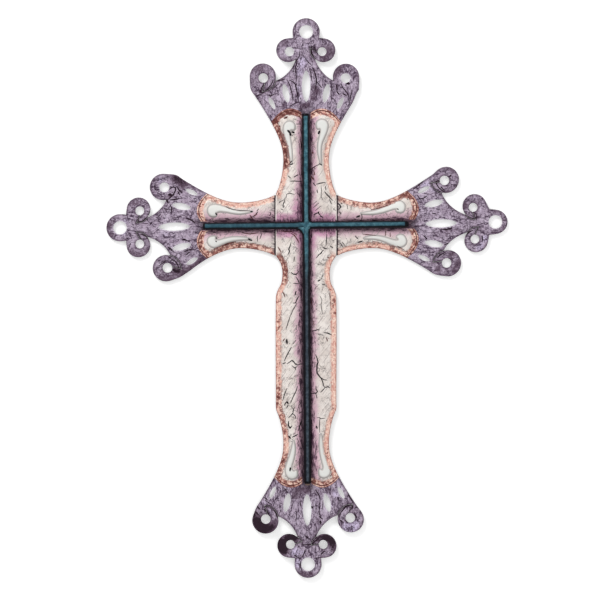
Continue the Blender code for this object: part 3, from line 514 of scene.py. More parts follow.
finialPatches = [
    (-2.7, 9.5, 4.3, 0.5), (7.7, 5.2, 3.4, 0.6), (8.5, -1.7, 2.6, 0.5), (-7.8, 4.3, 2.6, 0.3),
    (-3.5, -4.3, 2.6, -0.3), (-19, -10.3, 4.3, 0.7), (-23.3, -17.2, 3.4, 0.3), (-19, -23.2, 4.3, 0.6),
    (-12.1, -24.9, 3.4, 0.4), (-11.3, -7.7, 2.6, 0.4), (18.8, -12, 2.6, 0.5), (21.4, -17.2, 5.2, 0.9),
    (15.4, -23.2, 4.3, 0.8), (9.4, -8.6, 4.3, -0.2), (0.8, -12, 3.4, -0.3), (-2.7, -25.8, 5.2, -0.5),
    (-5.2, -34.4, 4.3, -0.4), (-6.1, -48.2, 3.4, -0.35), (-5.2, -55.9, 2.6, -0.3), (-41.4, -31.8, 4.3, 0.6),
    (-45.7, -37.8, 3.4, 0.4), (-44.8, -44.7, 2.6, 0.5), (-35.4, -31, 4.3, 0.4), (-31.9, -37, 3.4, 0.2),
    (29.2, -31.8, 4.3, 0.8), (24.9, -37.8, 4.3, 0.7), (39.5, -34.4, 3.4, -0.2), (43.8, -37.8, 3.4, 0.5),
    (39.5, -46.5, 4.3, 0.4), (27.4, -46.5, 3.4, 0.4), (6.8, -34.4, 4.3, 0.5), (6.8, -46.5, 5.2, 0.6),
    (5.9, -56.8, 4.3, 0.7), (10.2, -51.6, 4.3, 0.5), (13.7, -57.6, 3.4, -0.1), (-3.5, -64.5, 4.3, 0.8),
    (1.6, -63.7, 3.4, 0.8), (-13.8, -59.4, 3.4, -0.2), (-18.2, -61.1, 2.6, 0.4), (-19.9, -64.5, 3.4, 0.8),
    (25.7, -59.4, 3.4, 0.2), (32.6, -51.6, 4.3, 0.2), (30, -62.8, 2.6, 0.3), (-34.5, -56.8, 4.3, -0.2),
    (-28.5, -61.1, 3.4, -0.2), (-19.9, -41.3, 2.2, 0.8), (-36, -406, 4.3, -0.35), (-42.2, -420.6, 6, 1.6),
    (-37.1, -427.5, 6, 1.7), (-29.3, -425.8, 4.3, 1.3), (-45.7, -413.8, 3.4, 0.9), (-25.9, -420.6, 2.6, 0.6),
    (-31.1, -412.9, 3.4, -0.4), (-21.6, -439.6, 5.2, 2), (-19, -445.6, 4.3, 2), (-13.8, -434.4, 4.3, 2),
    (-8.7, -435.3, 2.6, 1.4), (10.2, -435.3, 3.4, 1.2), (17.1, -434.4, 4.3, 1.6), (23.1, -437.8, 4.3, 1.6),
    (23.1, -443.9, 3.4, 0.9), (16.3, -448.2, 3.4, 0.5), (10.2, -444.7, 3.4, 0.2), (-10.4, -446.4, 5.2, -0.6),
    (-7, -456.8, 4.3, -0.7), (-2.7, -447.3, 2.6, -0.3), (39.5, -424.1, 6, -0.7), (35.2, -426.7, 4.3, -0.5),
    (43.8, -412, 3.4, 0.3), (37.8, -400.9, 3.4, 0.3), (-2.7, -466.2, 4.3, 0.8), (4.2, -466.2, 4.3, 0.5),
    (9.4, -458.5, 4.3, 0.2), (-6.1, -394, 5.2, 0.8), (1.6, -393.1, 4.3, 0.9), (-9.5, -399.1, 3.4, 0.7),
    (9.4, -395.7, 4.3, 0.5), (18, -394, 3.4, 0.5), (-17.3, -393.1, 3.4, 0.2), (24.9, -397.4, 4.3, -0.4),
    (29.2, -391.4, 4.3, -0.3), (21.4, -406.9, 3.4, -0.3), (11.1, -419.8, 3.4, 0.6), (6.8, -428.4, 4.3, 0.4),
    (0.8, -433.5, 4.3, 0.3), (-5.2, -428.4, 3.4, -0.3), (-8.7, -406.9, 4.3, 0.2), (-170.4, -166, 4.3, 0.8),
    (-167.8, -174.6, 4.3, 0.7), (-163.5, -159.1, 4.3, 0.4), (-160.9, -178.9, 3.4, 0.2), (-154.9, -163.4, 4.3, -0.4),
    (-156.6, -172, 3.4, -0.4), (-148.9, -147.1, 4.3, 0.6), (-142, -145.4, 3.4, 0.5), (-153.2, -154, 3.4, 0.4),
    (-142.9, -154, 3.4, -0.6), (-136.9, -150.5, 2.6, 0.3), (-150.6, -189.2, 5.2, 0.7), (-142.9, -191.8, 4.3, 0.6),
    (-136, -187.5, 3.4, 0.8), (-136.9, -181.5, 2.6, 0.4), (-131.7, -127.3, 3.4, 0.3), (-132.6, -135.9, 3.4, 0.4),
    (-125.7, -127.3, 4.3, -0.4), (-113.6, -125.6, 3.4, 0.6), (-109.3, -127.3, 5.2, 1.1), (-103.3, -130.8, 4.3, 0.8),
    (-107.6, -135.9, 3.4, 0.5), (-117.1, -141.1, 3.4, 0.7), (-97.3, -134.2, 3.4, 0.4), (-118.8, -160, 4.3, 0.2),
    (-101.6, -160.9, 3.4, 0.5), (-94.7, -163.4, 3.4, 0.6), (-93, -157.4, 2.6, 0.3), (-121.4, -173.8, 5.2, -0.25),
    (-104.2, -175.5, 3.4, 0.3), (-99.9, -170.3, 3.4, 0.2), (-128.3, -197.8, 4.3, 0.2), (-130, -204.7, 4.3, 0.4),
    (-123.1, -211.6, 5.2, 0.7), (-114.5, -212.5, 5.2, 0.7), (-105.9, -207.3, 4.3, 0.9), (-99.9, -203, 4.3, 0.9),
    (-93, -198.7, 4.3, 0.9), (-88.7, -194.4, 3.4, 0.9), (-111.9, -204.7, 3.4, 1.1), (-104.2, -191.8, 4.3, 0.4),
    (-97.3, -189.2, 4.3, 0.5), (111.7, -118.7, 3.4, 0.6), (120.3, -116.1, 3.4, 0.4), (126.4, -119.6, 3.4, 0.6),
    (129.8, -126.4, 3.4, 0.5), (128.1, -134.2, 3.4, 0.5), (121.2, -137.6, 3.4, 0.6), (106.6, -125.6, 4.3, -0.2),
    (102.3, -132.5, 4.3, -0.5), (109.2, -135.9, 3.4, -0.3), (136.7, -149.7, 3.4, 0.9), (141, -142.8, 3.4, 0.4),
    (147.9, -141.1, 3.4, 0.3), (144.4, -155.7, 3.4, 0.5), (164.2, -154.8, 4.3, 0.6), (169.4, -160.9, 3.4, 0.6),
    (168.5, -168.6, 3.4, 0.6), (161.6, -171.2, 3.4, 0.6), (157.3, -157.4, 3.4, 0.3), (141, -179.8, 3.4, 0.3),
    (141.8, -184.9, 2.6, 0.3), (149.6, -184.9, 4.3, -0.5), (153.9, -177.2, 3.4, -0.5), (125.5, -191.8, 4.3, 0.9),
    (130.7, -198.7, 3.4, 0.9), (128.1, -204.7, 4.3, 0.8), (120.3, -206.4, 4.3, 0.5), (113.5, -203.9, 3.4, 0.8),
    (109.2, -199.6, 3.4, 0.4), (98, -194.4, 3.4, -0.2), (123.8, -148.8, 3.4, 0.7), (129.8, -153.1, 2.6, 0.6),
    (98, -159.1, 4.3, 0.3), (95.4, -168.6, 3.4, 0.3), (110.9, -172.9, 5.2, 0.4), (122.1, -172, 4.3, 0.6),
    (130.7, -169.5, 3.4, 0.4), (118.6, -178.9, 3.4, 0.2), (93.7, -163.4, 3.4, 0.5),
]

# each curl is rows of x, z and half width, in mm
curlPaths = {
    ("top", -1): [
        (-12.6, -113.5, 0.9), (-13, -108.4, 1.5), (-13.8, -102.4, 2.1), (-14.7, -96.3, 2.3), (-16, -90.3, 2.7),
        (-16.6, -84.7, 3.4), (-15.1, -81.3, 4.3), (-13, -81.1, 3.8), (-11.3, -83, 2.1),
    ],
    ("top", 1): [
        (12.8, -113.5, 0.8), (11.8, -107.5, 1.5), (11.4, -101.5, 1.9), (12, -95.5, 2.2), (13.7, -89.9, 2.7),
        (15.2, -84.3, 3.4), (14.4, -80, 4.6), (12, -79.6, 3.8), (10.7, -82.1, 2.1),
    ],
    ("bottom", 1): [
        (-10.8, -351.8, 0.9), (-10.8, -356.1, 1.8), (-11.4, -361.3, 2.4), (-13, -367.3, 2.7), (-14.7, -372.5, 2.8),
        (-15, -376.8, 3.3), (-13, -380.2, 4.1), (-10.2, -380.5, 3.3), (-8.9, -378.1, 1.9),
    ],
    ("bottom", -1): [
        (12.8, -345.8, 0.8), (12.8, -351, 1.8), (13.2, -357, 2.2), (14.1, -363, 2.4), (15.8, -369, 2.7),
        (17.4, -374.2, 3.2), (16.9, -378.5, 4.1), (14.1, -379.8, 3.4), (12.2, -377.2, 1.9),
    ],
    ("left", 1): [
        (-46.5, -154.5, 0.7), (-51.7, -155.1, 1.4), (-57.7, -155.4, 1.8), (-63.7, -154.3, 2.2), (-69.8, -152.7, 2.7),
        (-75.4, -151.8, 3.5), (-80.1, -152.8, 4.6), (-80.5, -155.7, 3.6), (-78.4, -157.7, 1.7),
    ],
    ("left", -1): [
        (-47.4, -178.5, 0.7), (-51.7, -177.9, 1.4), (-56.9, -177.7, 1.8), (-62.9, -178.1, 2.2), (-68.9, -179.4, 2.4),
        (-74.5, -181.3, 2.8), (-79.2, -181.8, 4), (-81.4, -179.5, 3.8), (-79.2, -177.2, 2.1),
    ],
    ("right", -1): [
        (47.2, -156.1, 0.8), (52.4, -155.9, 1.5), (58.4, -155.3, 2), (64.4, -153.8, 2.4), (70.5, -151.6, 2.8),
        (75.6, -149.5, 3.4), (80.3, -149.2, 4.3), (81.3, -152.3, 3.6), (78.6, -153.5, 1.9),
    ],
    ("right", 1): [
        (49.8, -177.5, 0.8), (53.2, -177, 1.5), (58.4, -176.7, 2), (63.6, -177.4, 2.2), (68.7, -178.9, 2.5),
        (73.9, -180.9, 2.8), (79.1, -182, 3.4), (82.5, -180.5, 4.1), (81.6, -177, 3.3), (79.1, -176.2, 1.9),
    ],
}

# how far from the bar's axis the plum runs, airbrushed paint with painted shade, and how rusty the rim is, by distance
# out in mm
plumWidths = {
    ("top", -1): [(4, 8.3), (10, 8), (22, 7.2), (36, 6.2), (42, 5.2), (56, 4.6), (96, 4.6)],
    ("top", 1): [(4, 5.6), (25, 5.1), (36, 6.5), (48, 6.3), (60, 5.5), (75, 5.9), (96, 6.1)],
    ("bottom", -1): [(4, 4.4), (25, 4.4), (50, 4.8), (57, 5.6), (88, 5.8), (95, 6.4), (130, 6.2), (140, 5.1),
                     (155, 6.2), (178, 7.2), (186, 8.4), (222, 8.2)],
    ("bottom", 1): [(4, 5), (20, 4), (30, 4), (36, 6), (55, 6.4), (66, 5.3), (95, 6.8), (110, 6.4), (115, 4.4),
                    (125, 4.7), (137, 5.6), (170, 5.2), (188, 6.2), (222, 6.6)],
    ("left", 1): [(26, 7.6), (45, 7), (55, 5.6), (75, 5.6), (92, 5.8)],
    ("left", -1): [(26, 5.8), (45, 5.6), (60, 6), (92, 6.6)],
    ("right", -1): [(26, 5.5), (45, 4.7), (60, 5.7), (75, 6.5), (92, 6.5)],
    ("right", 1): [(26, 3.4), (55, 3.4), (75, 4.2), (92, 4.8)],
}
rimRust = {
    ("top", -1): [(20, 0.2), (45, 0.25), (52, 0.85), (97, 0.9)],
    ("top", 1): [(20, 0.1), (60, 0.12), (80, 0.25), (97, 0.55)],
    ("bottom", -1): [(20, 0.3), (27, 0.4), (31, 0), (50, 0.05), (55, 0.35), (75, 0.35), (85, 0.1), (170, 0.15),
                     (200, 0.2), (222, 0.5)],
    ("bottom", 1): [(17, 0.5), (22, 0.8), (48, 0.75), (53, 0.2), (57, 0.45), (80, 0.4), (100, 0.3), (130, 0.35),
                    (150, 0.7), (170, 0.55), (185, 0.35), (200, 0.6), (222, 0.6)],
    ("left", 1): [(26, 0.1), (60, 0.1), (80, 0.35), (92, 0.35)],
    ("left", -1): [(26, 0.4), (45, 0.65), (60, 0.7), (92, 0.6)],
    ("right", -1): [(26, 0.35), (45, 0.45), (60, 0.65), (92, 0.65)],
    ("right", 1): [(26, 0.3), (45, 0.25), (60, 0.4), (92, 0.6)],
}
curls = {"steps": 4, "height": 0.95 * mm, "shoulder": 1.8, "groove": 0.25 * mm}
# how the drawn lines thin towards their ends; lengths in mm
pen = {"spacing": 0.6, "tip": 0.45, "taper": 1.6, "least": 2.0, "dash": 4.0, "dashStart": 0.6}


def curlPath(points):
    # a smooth path through the traced points
    points = np.array(points, float)
    points = np.vstack([2 * points[0] - points[1], points, 2 * points[-1] - points[-2]])
    path = []
    for i in range(1, len(points) - 2):
        a, b, c, d = points[i - 1:i + 3]
        for t in np.arange(curls["steps"]) / curls["steps"]:
            path.append(
                0.5 * (2 * b + (c - a) * t + (2 * a - 5 * b + 4 * c - d) * t**2 + (3 * b - a - 3 * c + d) * t**3)
            )
    return np.array(path + [points[-2]])


def strokeGap(points, strokes, reach, furthest):
    # mm outside the nearest stroke's edge, negative within it; each stroke is rows of x, z, half width
    px, pz = points[:, 0] / mm, points[:, 1] / mm
    gap = np.full(len(points), furthest)
    for stroke in strokes:
        for (x0, z0, w0), (x1, z1, w1) in zip(stroke[:-1], stroke[1:]):
            dx, dz = x1 - x0, z1 - z0
            near = abs(px - (x0 + x1) / 2) < abs(dx) / 2 + reach
            near &= abs(pz - (z0 + z1) / 2) < abs(dz) / 2 + reach
            qx, qz = px[near] - x0, pz[near] - z0
            t = np.clip((qx * dx + qz * dz) / (dx * dx + dz * dz), 0, 1)
            gap[near] = np.minimum(gap[near], np.hypot(qx - dx * t, qz - dz * t) - w0 - (w1 - w0) * t)
    return gap


def taperedLines(lines):
    # drawn lines as rows of x, z and half width
    made = []
    for width, *spots in lines:
        spots = np.array(spots, float)
        places = np.concatenate([[0], np.cumsum(np.hypot(*np.diff(spots, axis=0).T))])
        length = places[-1]
        along = np.linspace(0, length, max(2, int(length / pen["spacing"]) + 1))
        share = np.minimum(along, length - along) / max(pen["least"], length / 2)
        start = pen["dashStart"] if length < pen["dash"] else 0
        wide = width * (pen["tip"] + (1 - pen["tip"]) * np.minimum(1, share * pen["taper"] + start))
        made.append(np.column_stack([*(np.interp(along, places, spots[:, k]) for k in (0, 1)), wide]))
    return made


# plain numbers here are mm in the terms of placeFields: in from the rim, or in from a panel's end
sheets = {
    "panelSpacing": 0.66 * mm,
    "finialSpacing": 1.05 * mm,
    "backSpacing": 1.8 * mm,
    "quickSpacings": (1.2 * mm, 1.8 * mm),
    "edgeRound": 0.28 * mm,
    "edgeDrop": 0.22 * mm,
    "outlineStep": 0.9 * mm,
    "cornerTurn": 32,        # degrees above which a corner of the outline stays sharp
    "foldTurn": 48,          # and above which an edge is shaded sharp
    "shortEdge": 0.3 * mm,
    "rimBead": 0.40 * mm,
    "rimWidth": 3.9,
    "rimFrom": {"upright": (18.0, 27.0), "crossbar": (26.0, 30.0)},  # out from the crossing
    "endBead": 0.55 * mm,
    "endOuter": -3.4,
    "endLine": -1.6,
    "endInner": 0.5,
    "crossingPlum": 5.3,     # how far the plum runs above and below the arm bars
    "dent": 0.16 * mm,
    "dentSizes": (11 * mm, 4 * mm),
    "finialDent": 0.12 * mm,
    "finialRoll": 0.32 * mm,
    "rollWidth": 2.0,
    "scratch": 0.10 * mm,
    "cutReach": 0.95 * mm,   # saw cuts up to this wide are closed up
    "cutClosing": 0.34,      # by this share of their width from each side
    "cutShadeLine": 0.3,           # half width of the line of painted shade along a closed cut
    "nudges": [(45.5, -50.8, 7.5, -2.0, 0.4), (-103.3, -208.2, 14.0, 0.75, -1.15)],
    "armZone": 60 * mm,      # lines this near the crossing's height are the crossbar's
    "furthest": {"curl": 6.0, "ink": 4.0, "brown": 4.0},  # distances to lines stop here
}


def onCrossbar(x, z):
    return (abs(x) > plan["halfWidth"]) & (abs(z - plan["crossingZ"]) < sheets["armZone"])


def frontLoops(node):
    # the closed outlines of the sheet's front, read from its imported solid
    mesh = node.data
    points = np.array([v.co for v in mesh.vertices])
    walls = [p for p in mesh.polygons if abs(p.normal.y) < 0.05]
    front = max(points[i][1] for p in walls for i in p.vertices) - plan["sheet"]
    following = {}
    for wall in walls:
        count = len(wall.vertices)
        for i in range(count):
            a, b = wall.vertices[i], wall.vertices[(i + 1) % count]
            if abs(points[a][1] - front) < 0.02 * mm and abs(points[b][1] - front) < 0.02 * mm:
                a, b = (tuple(np.round(points[k][[0, 2]], 7)) for k in (a, b))
                following.setdefault(a, []).append(b)
                following.setdefault(b, []).append(a)
    loops = []
    left = set(following)
    while left:
        loop, last, here = [], None, min(left)
        while here in left:
            left.discard(here)
            loop.append(here)
            onward = [n for n in following[here] if n != last and n in left]
            last, here = here, onward[0] if onward else None
        loops.append(np.array(loop))
    loops.sort(key=lambda loop: -np.ptp(loop[:, 0]))
    return front, loops


def loopWay(loop):
    # the way ahead at each point of a closed outline
    return np.roll(loop, -1, 0) - np.roll(loop, 1, 0)


def sideways(way):
    # unit steps square to each way ahead
    return np.column_stack([-way[:, 1], way[:, 0]]) / np.maximum(np.hypot(*way.T), 1e-9)[:, None]


def refined(loop):
    # rounds the gentle corners of an outline, and keeps the sharp ones
    a, b = loop - np.roll(loop, 1, 0), np.roll(loop, -1, 0) - loop
    turn = abs((np.arctan2(b[:, 1], b[:, 0]) - np.arctan2(a[:, 1], a[:, 0]) + pi) % (2 * pi) - pi)
    short = np.minimum(np.hypot(*a.T), np.hypot(*b.T))
    way = loopWay(loop)
    tangent = way / np.maximum(np.hypot(*way.T), 1e-9)[:, None]
    sharp = (turn > radians(sheets["cornerTurn"])) | (short < sheets["shortEdge"])
    made = []
    for i in range(len(loop)):
        j = (i + 1) % len(loop)
        span = loop[j] - loop[i]
        length = np.hypot(*span)
        steps = max(1, round(length / sheets["outlineStep"]))
        leave = span if sharp[i] else tangent[i] * length
        land = span if sharp[j] else tangent[j] * length
        for t in np.arange(steps) / steps:
            made.append(
                loop[i] * (2 * t**3 - 3 * t**2 + 1) + leave * (t**3 - 2 * t**2 + t)
                + loop[j] * (3 * t**2 - 2 * t**3) + land * (t**3 - t**2)
            )
    return np.array(made)


def insideLoops(loops, points):
    # even-odd test of many points at once
    order = np.argsort(points[:, 1])
    px, pz = points[order, 0], points[order, 1]
    odd = np.zeros(len(points), bool)
    for loop in loops:
        for (x0, z0), (x1, z1) in zip(loop, np.roll(loop, -1, 0)):
            if z0 == z1:
                continue
            lo, hi = np.searchsorted(pz, [min(z0, z1), max(z0, z1)])
            cross = x0 + (pz[lo:hi] - z0) / (z1 - z0) * (x1 - x0)
            odd[lo:hi] ^= px[lo:hi] < cross
    found = np.zeros(len(points), bool)
    found[order] = odd
    return found


def pointTree(points):
    tree = KDTree(len(points))
    for i, (x, z) in enumerate(points):
        tree.insert((x, z, 0), i)
    tree.balance()
    return tree


def edgeTree(loops):
    # finds how far a point is from the nearest cut edge
    samples = []
    for loop in loops:
        for a, b in zip(loop, np.roll(loop, -1, 0)):
            count = max(1, int(np.hypot(*(b - a)) / (0.15 * mm)))
            samples += [a + (b - a) * k / count for k in range(count)]
    return pointTree(samples)


def gapsTo(tree, points):
    return np.array([tree.find((x, z, 0))[2] for x, z in points])


def pinched(loops):
    # closes the saw cuts of the scrolls to hairlines, and says where they are
    points = np.vstack(loops)
    normal = sideways(np.vstack([loopWay(loop) for loop in loops]))
    normal *= np.where(insideLoops(loops, points + normal * 0.06 * mm), -1, 1)[:, None]
    tree = edgeTree(loops)
    moved, cuts = points.copy(), []
    for i, (x, z) in enumerate(points):
        best = None
        for spot, _, gap in tree.find_range((x, z, 0), sheets["cutReach"]):
            toward = np.array([spot.x - x, spot.y - z])
            facingIt = gap > 0.3 * mm and toward @ normal[i] > 0.9 * gap
            if facingIt and (best is None or gap < best[0]):
                best = (gap, toward)
        if best:
            moved[i] += best[1] * sheets["cutClosing"]
            cuts.append(moved[i])
    ends = np.cumsum([len(loop) for loop in loops])[:-1]
    return np.split(moved, ends), np.array(cuts)


def nudged(loop):
    # small hand-cut departures of the outline: x, z, radius and the move, in mm
    moved = loop.copy()
    for x, z, radius, dx, dz in sheets["nudges"]:
        weight = np.exp(-((loop[:, 0] / mm - x) ** 2 + (loop[:, 1] / mm - z) ** 2) / radius**2)
        moved += weight[:, None] * np.array([[dx, dz]]) * mm
    return moved


def hexGrid(low, high, spacing):
    # even points in rows over a box
    rows = []
    rowHeight = 0.8660254  # of triangles with sides of 1
    for k, z in enumerate(np.arange(low[1], high[1], spacing * rowHeight)):
        xs = np.arange(low[0] + (k % 2) * spacing / 2, high[0], spacing)
        rows.append(np.column_stack([xs, np.full(len(xs), z)]))
    return np.vstack(rows)


def placeFields(name, points):
    # what every point of a sheet knows of its place on the cross, in mm, and its pillow's height in metres
    x, z = points[:, 0], points[:, 1]
    upright = name == "upright"
    first = (z > plan["crossingZ"]) if upright else (x > 0)
    keys = ("rim", "end", "rod", "pillow", "out", "plum", "rust")
    fields = {key: np.zeros(len(points)) for key in keys}
    for arm, mask in zip(("top", "bottom") if upright else ("right", "left"), (first, ~first)):
        out, side = toArm(arm, x[mask], z[mask])
        widths, rust = np.zeros(len(out)), np.zeros(len(out))
        for way in (-1, 1):
            here = side * way >= 0
            widths[here] = np.interp(out[here] / mm, *np.array(plumWidths[arm, way]).T)
            rust[here] = np.interp(out[here] / mm, *np.array(rimRust[arm, way]).T)
        rod, plum = abs(side) / mm, abs(side) / mm - widths
        if upright:
            rod, plum = np.minimum(rod, out / mm), np.minimum(plum, out / mm - sheets["crossingPlum"])
        rim, end = (halfWidth(arm, out) - abs(side)) / mm, (panelEnd(arm, side) - out) / mm
        for key, values in zip(keys, (rim, end, rod, pillow(arm, out, side), out / mm, plum, rust)):
            fields[key][mask] = values
    return fields


def drawnFields(points, fields):
    # distances to the listed lines, and the finials' patches
    furthest = sheets["furthest"]
    paths = [curlPath(path) for path in curlPaths.values()]
    fields["curl"] = -strokeGap(points, paths, 8.0, furthest["curl"])
    for key, lines in drawnLines.items():
        fields[key] = strokeGap(points, lines, 2.5, furthest[key])
    fields["tone"] = np.zeros(len(points))
    for x, z, radius, darkness in finialPatches:
        away = ((points[:, 0] / mm - x) ** 2 + (points[:, 1] / mm - z) ** 2) / radius**2
        fields["tone"] += darkness * np.exp(-away)


def ripple(points, size, seed):
    # soft dents from -1 to 1
    return np.array([noise.noise(Vector((x / size, z / size, seed))) for x, z in points])


def frontHeight(name, points, fields):
    # the hammered and chased relief over the flat of the sheet
    rim, end, curl, rod = fields["rim"], fields["end"], fields["curl"], fields["rod"]
    outerEnd, line, innerEnd = sheets["endOuter"], sheets["endLine"], sheets["endInner"]
    panel = smooth(end, outerEnd - 0.4, outerEnd + 0.2)
    clearOfBar = smooth(rod, 3.6, 7.0)
    height = fields["pillow"].copy()
    bead = np.sin(np.clip(rim / sheets["rimWidth"], 0, 1) * pi) * sheets["rimBead"]
    height += bead * smooth(end, 0.0, 2.0) * smooth(fields["out"], *sheets["rimFrom"][name])
    outer = np.clip((end - outerEnd) / (line - outerEnd), 0, 1)
    inner = np.clip((end - line) / (innerEnd - line), 0, 1)
    height += (np.sin(outer * pi) ** 0.8 + np.sin(inner * pi) ** 0.8) * sheets["endBead"] * clearOfBar
    raised = smooth(curl, -0.3, curls["shoulder"]) * curls["height"]
    height += raised - curls["groove"] * np.exp(-((curl + 0.5) / 0.35) ** 2)
    large, small = sheets["dentSizes"]
    dents = ripple(points, large, 3.1) + 0.5 * ripple(points, small, 7.7)
    height += panel * clearOfBar * sheets["dent"] * dents * smooth(rim, 0, 3)
    height += (1 - panel) * sheets["finialDent"] * dents * smooth(rod, 2.0, 5.0)
    height -= sheets["scratch"] * smooth(fields["ink"], 0.35, -0.1)
    roll = (1 - np.clip(fields["edge"] / sheets["rollWidth"], 0, 1)) ** 2
    return height - (1 - panel) * sheets["finialRoll"] * roll


def fill(loops, extra):
    # triangles between the loops, through the extra points
    points, edges = [], []
    for loop in loops:
        first = len(points)
        points += [tuple(p) for p in loop]
        edges += [(first + i, first + (i + 1) % len(loop)) for i in range(len(loop))]
    points += [tuple(p) for p in extra]
    found, _, faces, origins, _, _ = delaunay_2d_cdt([Vector(p) for p in points], edges, [], 0, 1e-8)
    placed = np.array([tuple(p) for p in found])
    triangles = np.array([f for f in faces if len(f) == 3])
    triangles = triangles[insideLoops(loops, placed[triangles].mean(1))]
    came = {o: i for i, origin in enumerate(origins) for o in origin}
    return placed, triangles, came


def facePoints(name, loops, tree, spacings, ring):
    # grid points of one face of the sheet, with rows along its edges and its drawn lines if it has a ring
    low = np.min([loop.min(0) for loop in loops], axis=0)
    high = np.max([loop.max(0) for loop in loops], axis=0)
    picked = []
    for zone, spacing in zip(("panel", "finial"), spacings):
        grid = hexGrid(low, high, spacing)
        grid = grid[insideLoops(loops, grid)]
        fields = placeFields(name, grid)
        inPanel = fields["end"] > sheets["endOuter"] - 1.2
        if name == "crossbar":
            inPanel &= fields["out"] > plan["halfWidth"] / mm - 1
        grid = grid[inPanel if zone == "panel" else ~inPanel]
        picked.append(grid[gapsTo(tree, grid) > max(0.42 * spacing, 1.5 * ring)])
    grid = np.vstack(picked)
    if not ring:
        return grid
    drawn = []
    for stroke in drawnLines["ink"] + drawnLines["brown"]:
        normal = sideways(np.gradient(stroke[:, :2], axis=0))
        for way in (-1, 0, 1):
            drawn.append((stroke[:, :2] + normal * (way * (stroke[:, 2] + 0.3))[:, None]) * mm)
    drawn = np.vstack(drawn)
    there = onCrossbar(drawn[:, 0], drawn[:, 1])
    drawn = drawn[there if name == "crossbar" else ~there]
    drawn = drawn[insideLoops(loops, drawn)]
    drawn = drawn[gapsTo(tree, drawn) > 1.3 * ring]
    picked = [grid[gapsTo(pointTree(drawn), grid) > 0.3 * mm], drawn]
    for loop in loops:
        normal = sideways(loopWay(loop))
        for way in (-1, 1):
            points = loop + normal * ring * way
            points = points[insideLoops(loops, points)]
            if len(points):
                picked.append(points[gapsTo(tree, points) > 0.93 * ring])
    return np.vstack(picked)


def facing(coords, faces, sign):
    # turns each triangle to face the way it should
    a, b, c = (coords[faces[:, k]] for k in range(3))
    area = (b[:, 2] - a[:, 2]) * (c[:, 0] - a[:, 0]) - (b[:, 0] - a[:, 0]) * (c[:, 2] - a[:, 2])
    flip = area * sign < 0
    faces[flip] = faces[flip][:, ::-1]
    return faces


def buildSheet(name, front, back):
    # front is the painted face's material, back the plain one's
    flat, loops = frontLoops(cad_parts[name])
    loops, cuts = pinched([nudged(refined(loop)) for loop in loops])
    tree, outerTree, holeTree = edgeTree(loops), edgeTree(loops[:1]), edgeTree(loops[1:])
    spacings = ((sheets["panelSpacing"], sheets["finialSpacing"]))
    placed, triangles, came = fill(loops, facePoints(name, loops, tree, spacings, sheets["edgeRound"]))
    fields = placeFields(name, placed)
    drawnFields(placed, fields)
    fields["edge"] = gapsTo(outerTree, placed) / mm
    fields["hole"] = gapsTo(holeTree, placed) / mm
    # a line of painted shade along each closed cut, where the open saw cut shows dark
    fields["ink"] = np.minimum(fields["ink"], gapsTo(pointTree(cuts), placed) / mm - sheets["cutShadeLine"])
    height = frontHeight(name, placed, fields)
    nearest = np.minimum(fields["edge"], fields["hole"])
    height -= np.where(nearest < 0.02, sheets["edgeDrop"], 0) + height * np.exp(-nearest / 0.25)
    backSpacings = (sheets["backSpacing"], 1.5 * sheets["backSpacing"])
    backPlaced, backTriangles, backCame = fill(loops, facePoints(name, loops, tree, backSpacings, 0))
    backFields = placeFields(name, backPlaced)
    frontCoords = np.column_stack([placed[:, 0], flat - height, placed[:, 1]])
    backY = flat + plan["sheet"] - backFields["pillow"]
    backCoords = np.column_stack([backPlaced[:, 0], backY, backPlaced[:, 1]])
    shift = len(frontCoords)
    triangles = facing(frontCoords, triangles, -1)
    backTriangles = facing(backCoords, backTriangles, 1) + shift
    wallFaces = []
    start = 0
    for loop in loops:
        for i in range(len(loop)):
            a, b = start + i, start + (i + 1) % len(loop)
            wallFaces.append((came[a], came[b], backCame[b] + shift, backCame[a] + shift))
        start += len(loop)
    mesh = bpy.data.meshes.new(name + "Sheet")
    everything = [tuple(f) for f in triangles] + [tuple(f) for f in backTriangles] + wallFaces
    mesh.from_pydata([tuple(c) for c in np.vstack([frontCoords, backCoords])], [], everything)
    mesh.materials.append(front)
    mesh.materials.append(back)
    slots = np.zeros(len(everything), np.int32)
    slots[len(triangles):len(triangles) + len(backTriangles)] = 1
    mesh.polygons.foreach_set("material_index", slots)
    backValues = {key: backFields[key] for key in ("rim", "end", "rod", "out", "plum")} | sheets["furthest"]
    backValues["curl"] *= -1
    for key in fields:
        values = np.concatenate([fields[key], np.zeros(len(backCoords))]).astype(np.float32)
        values[shift:] = backValues.get(key, 0)
        mesh.attributes.new(key, "FLOAT", "POINT").data.foreach_set("value", values)
    mesh.update()
    work = bmesh.new()
    work.from_mesh(mesh)
    bmesh.ops.recalc_face_normals(work, faces=work.faces)
    work.to_mesh(mesh)
    work.free()
    mesh.shade_smooth()
    mesh.set_sharp_from_angle(angle=radians(sheets["foldTurn"]))
    piece = linked(name + "Sheet", mesh)
    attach(piece, "root")
    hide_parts(name)
    print(name, "sheet:", len(triangles), "front triangles and", len(backTriangles), "back ones")


bars = {
    "sides": 32,
    "ringEvery": 1.6 * mm,
    "wander": 0.10 * mm,
    "wanderLength": 7 * mm,
    "tipLength": 1.8 * mm,
    "tipRadius": 0.70,   # share of the bar's
    "endRound": 0.8 * mm,
    "edgeTurn": 60,
    # how far the low and the high end stand aside of the solid's
    "lean": {"upright_rod": (0.7 * mm, -0.5 * mm), "left_arm_rod": (-0.35 * mm, -0.25 * mm)},
}


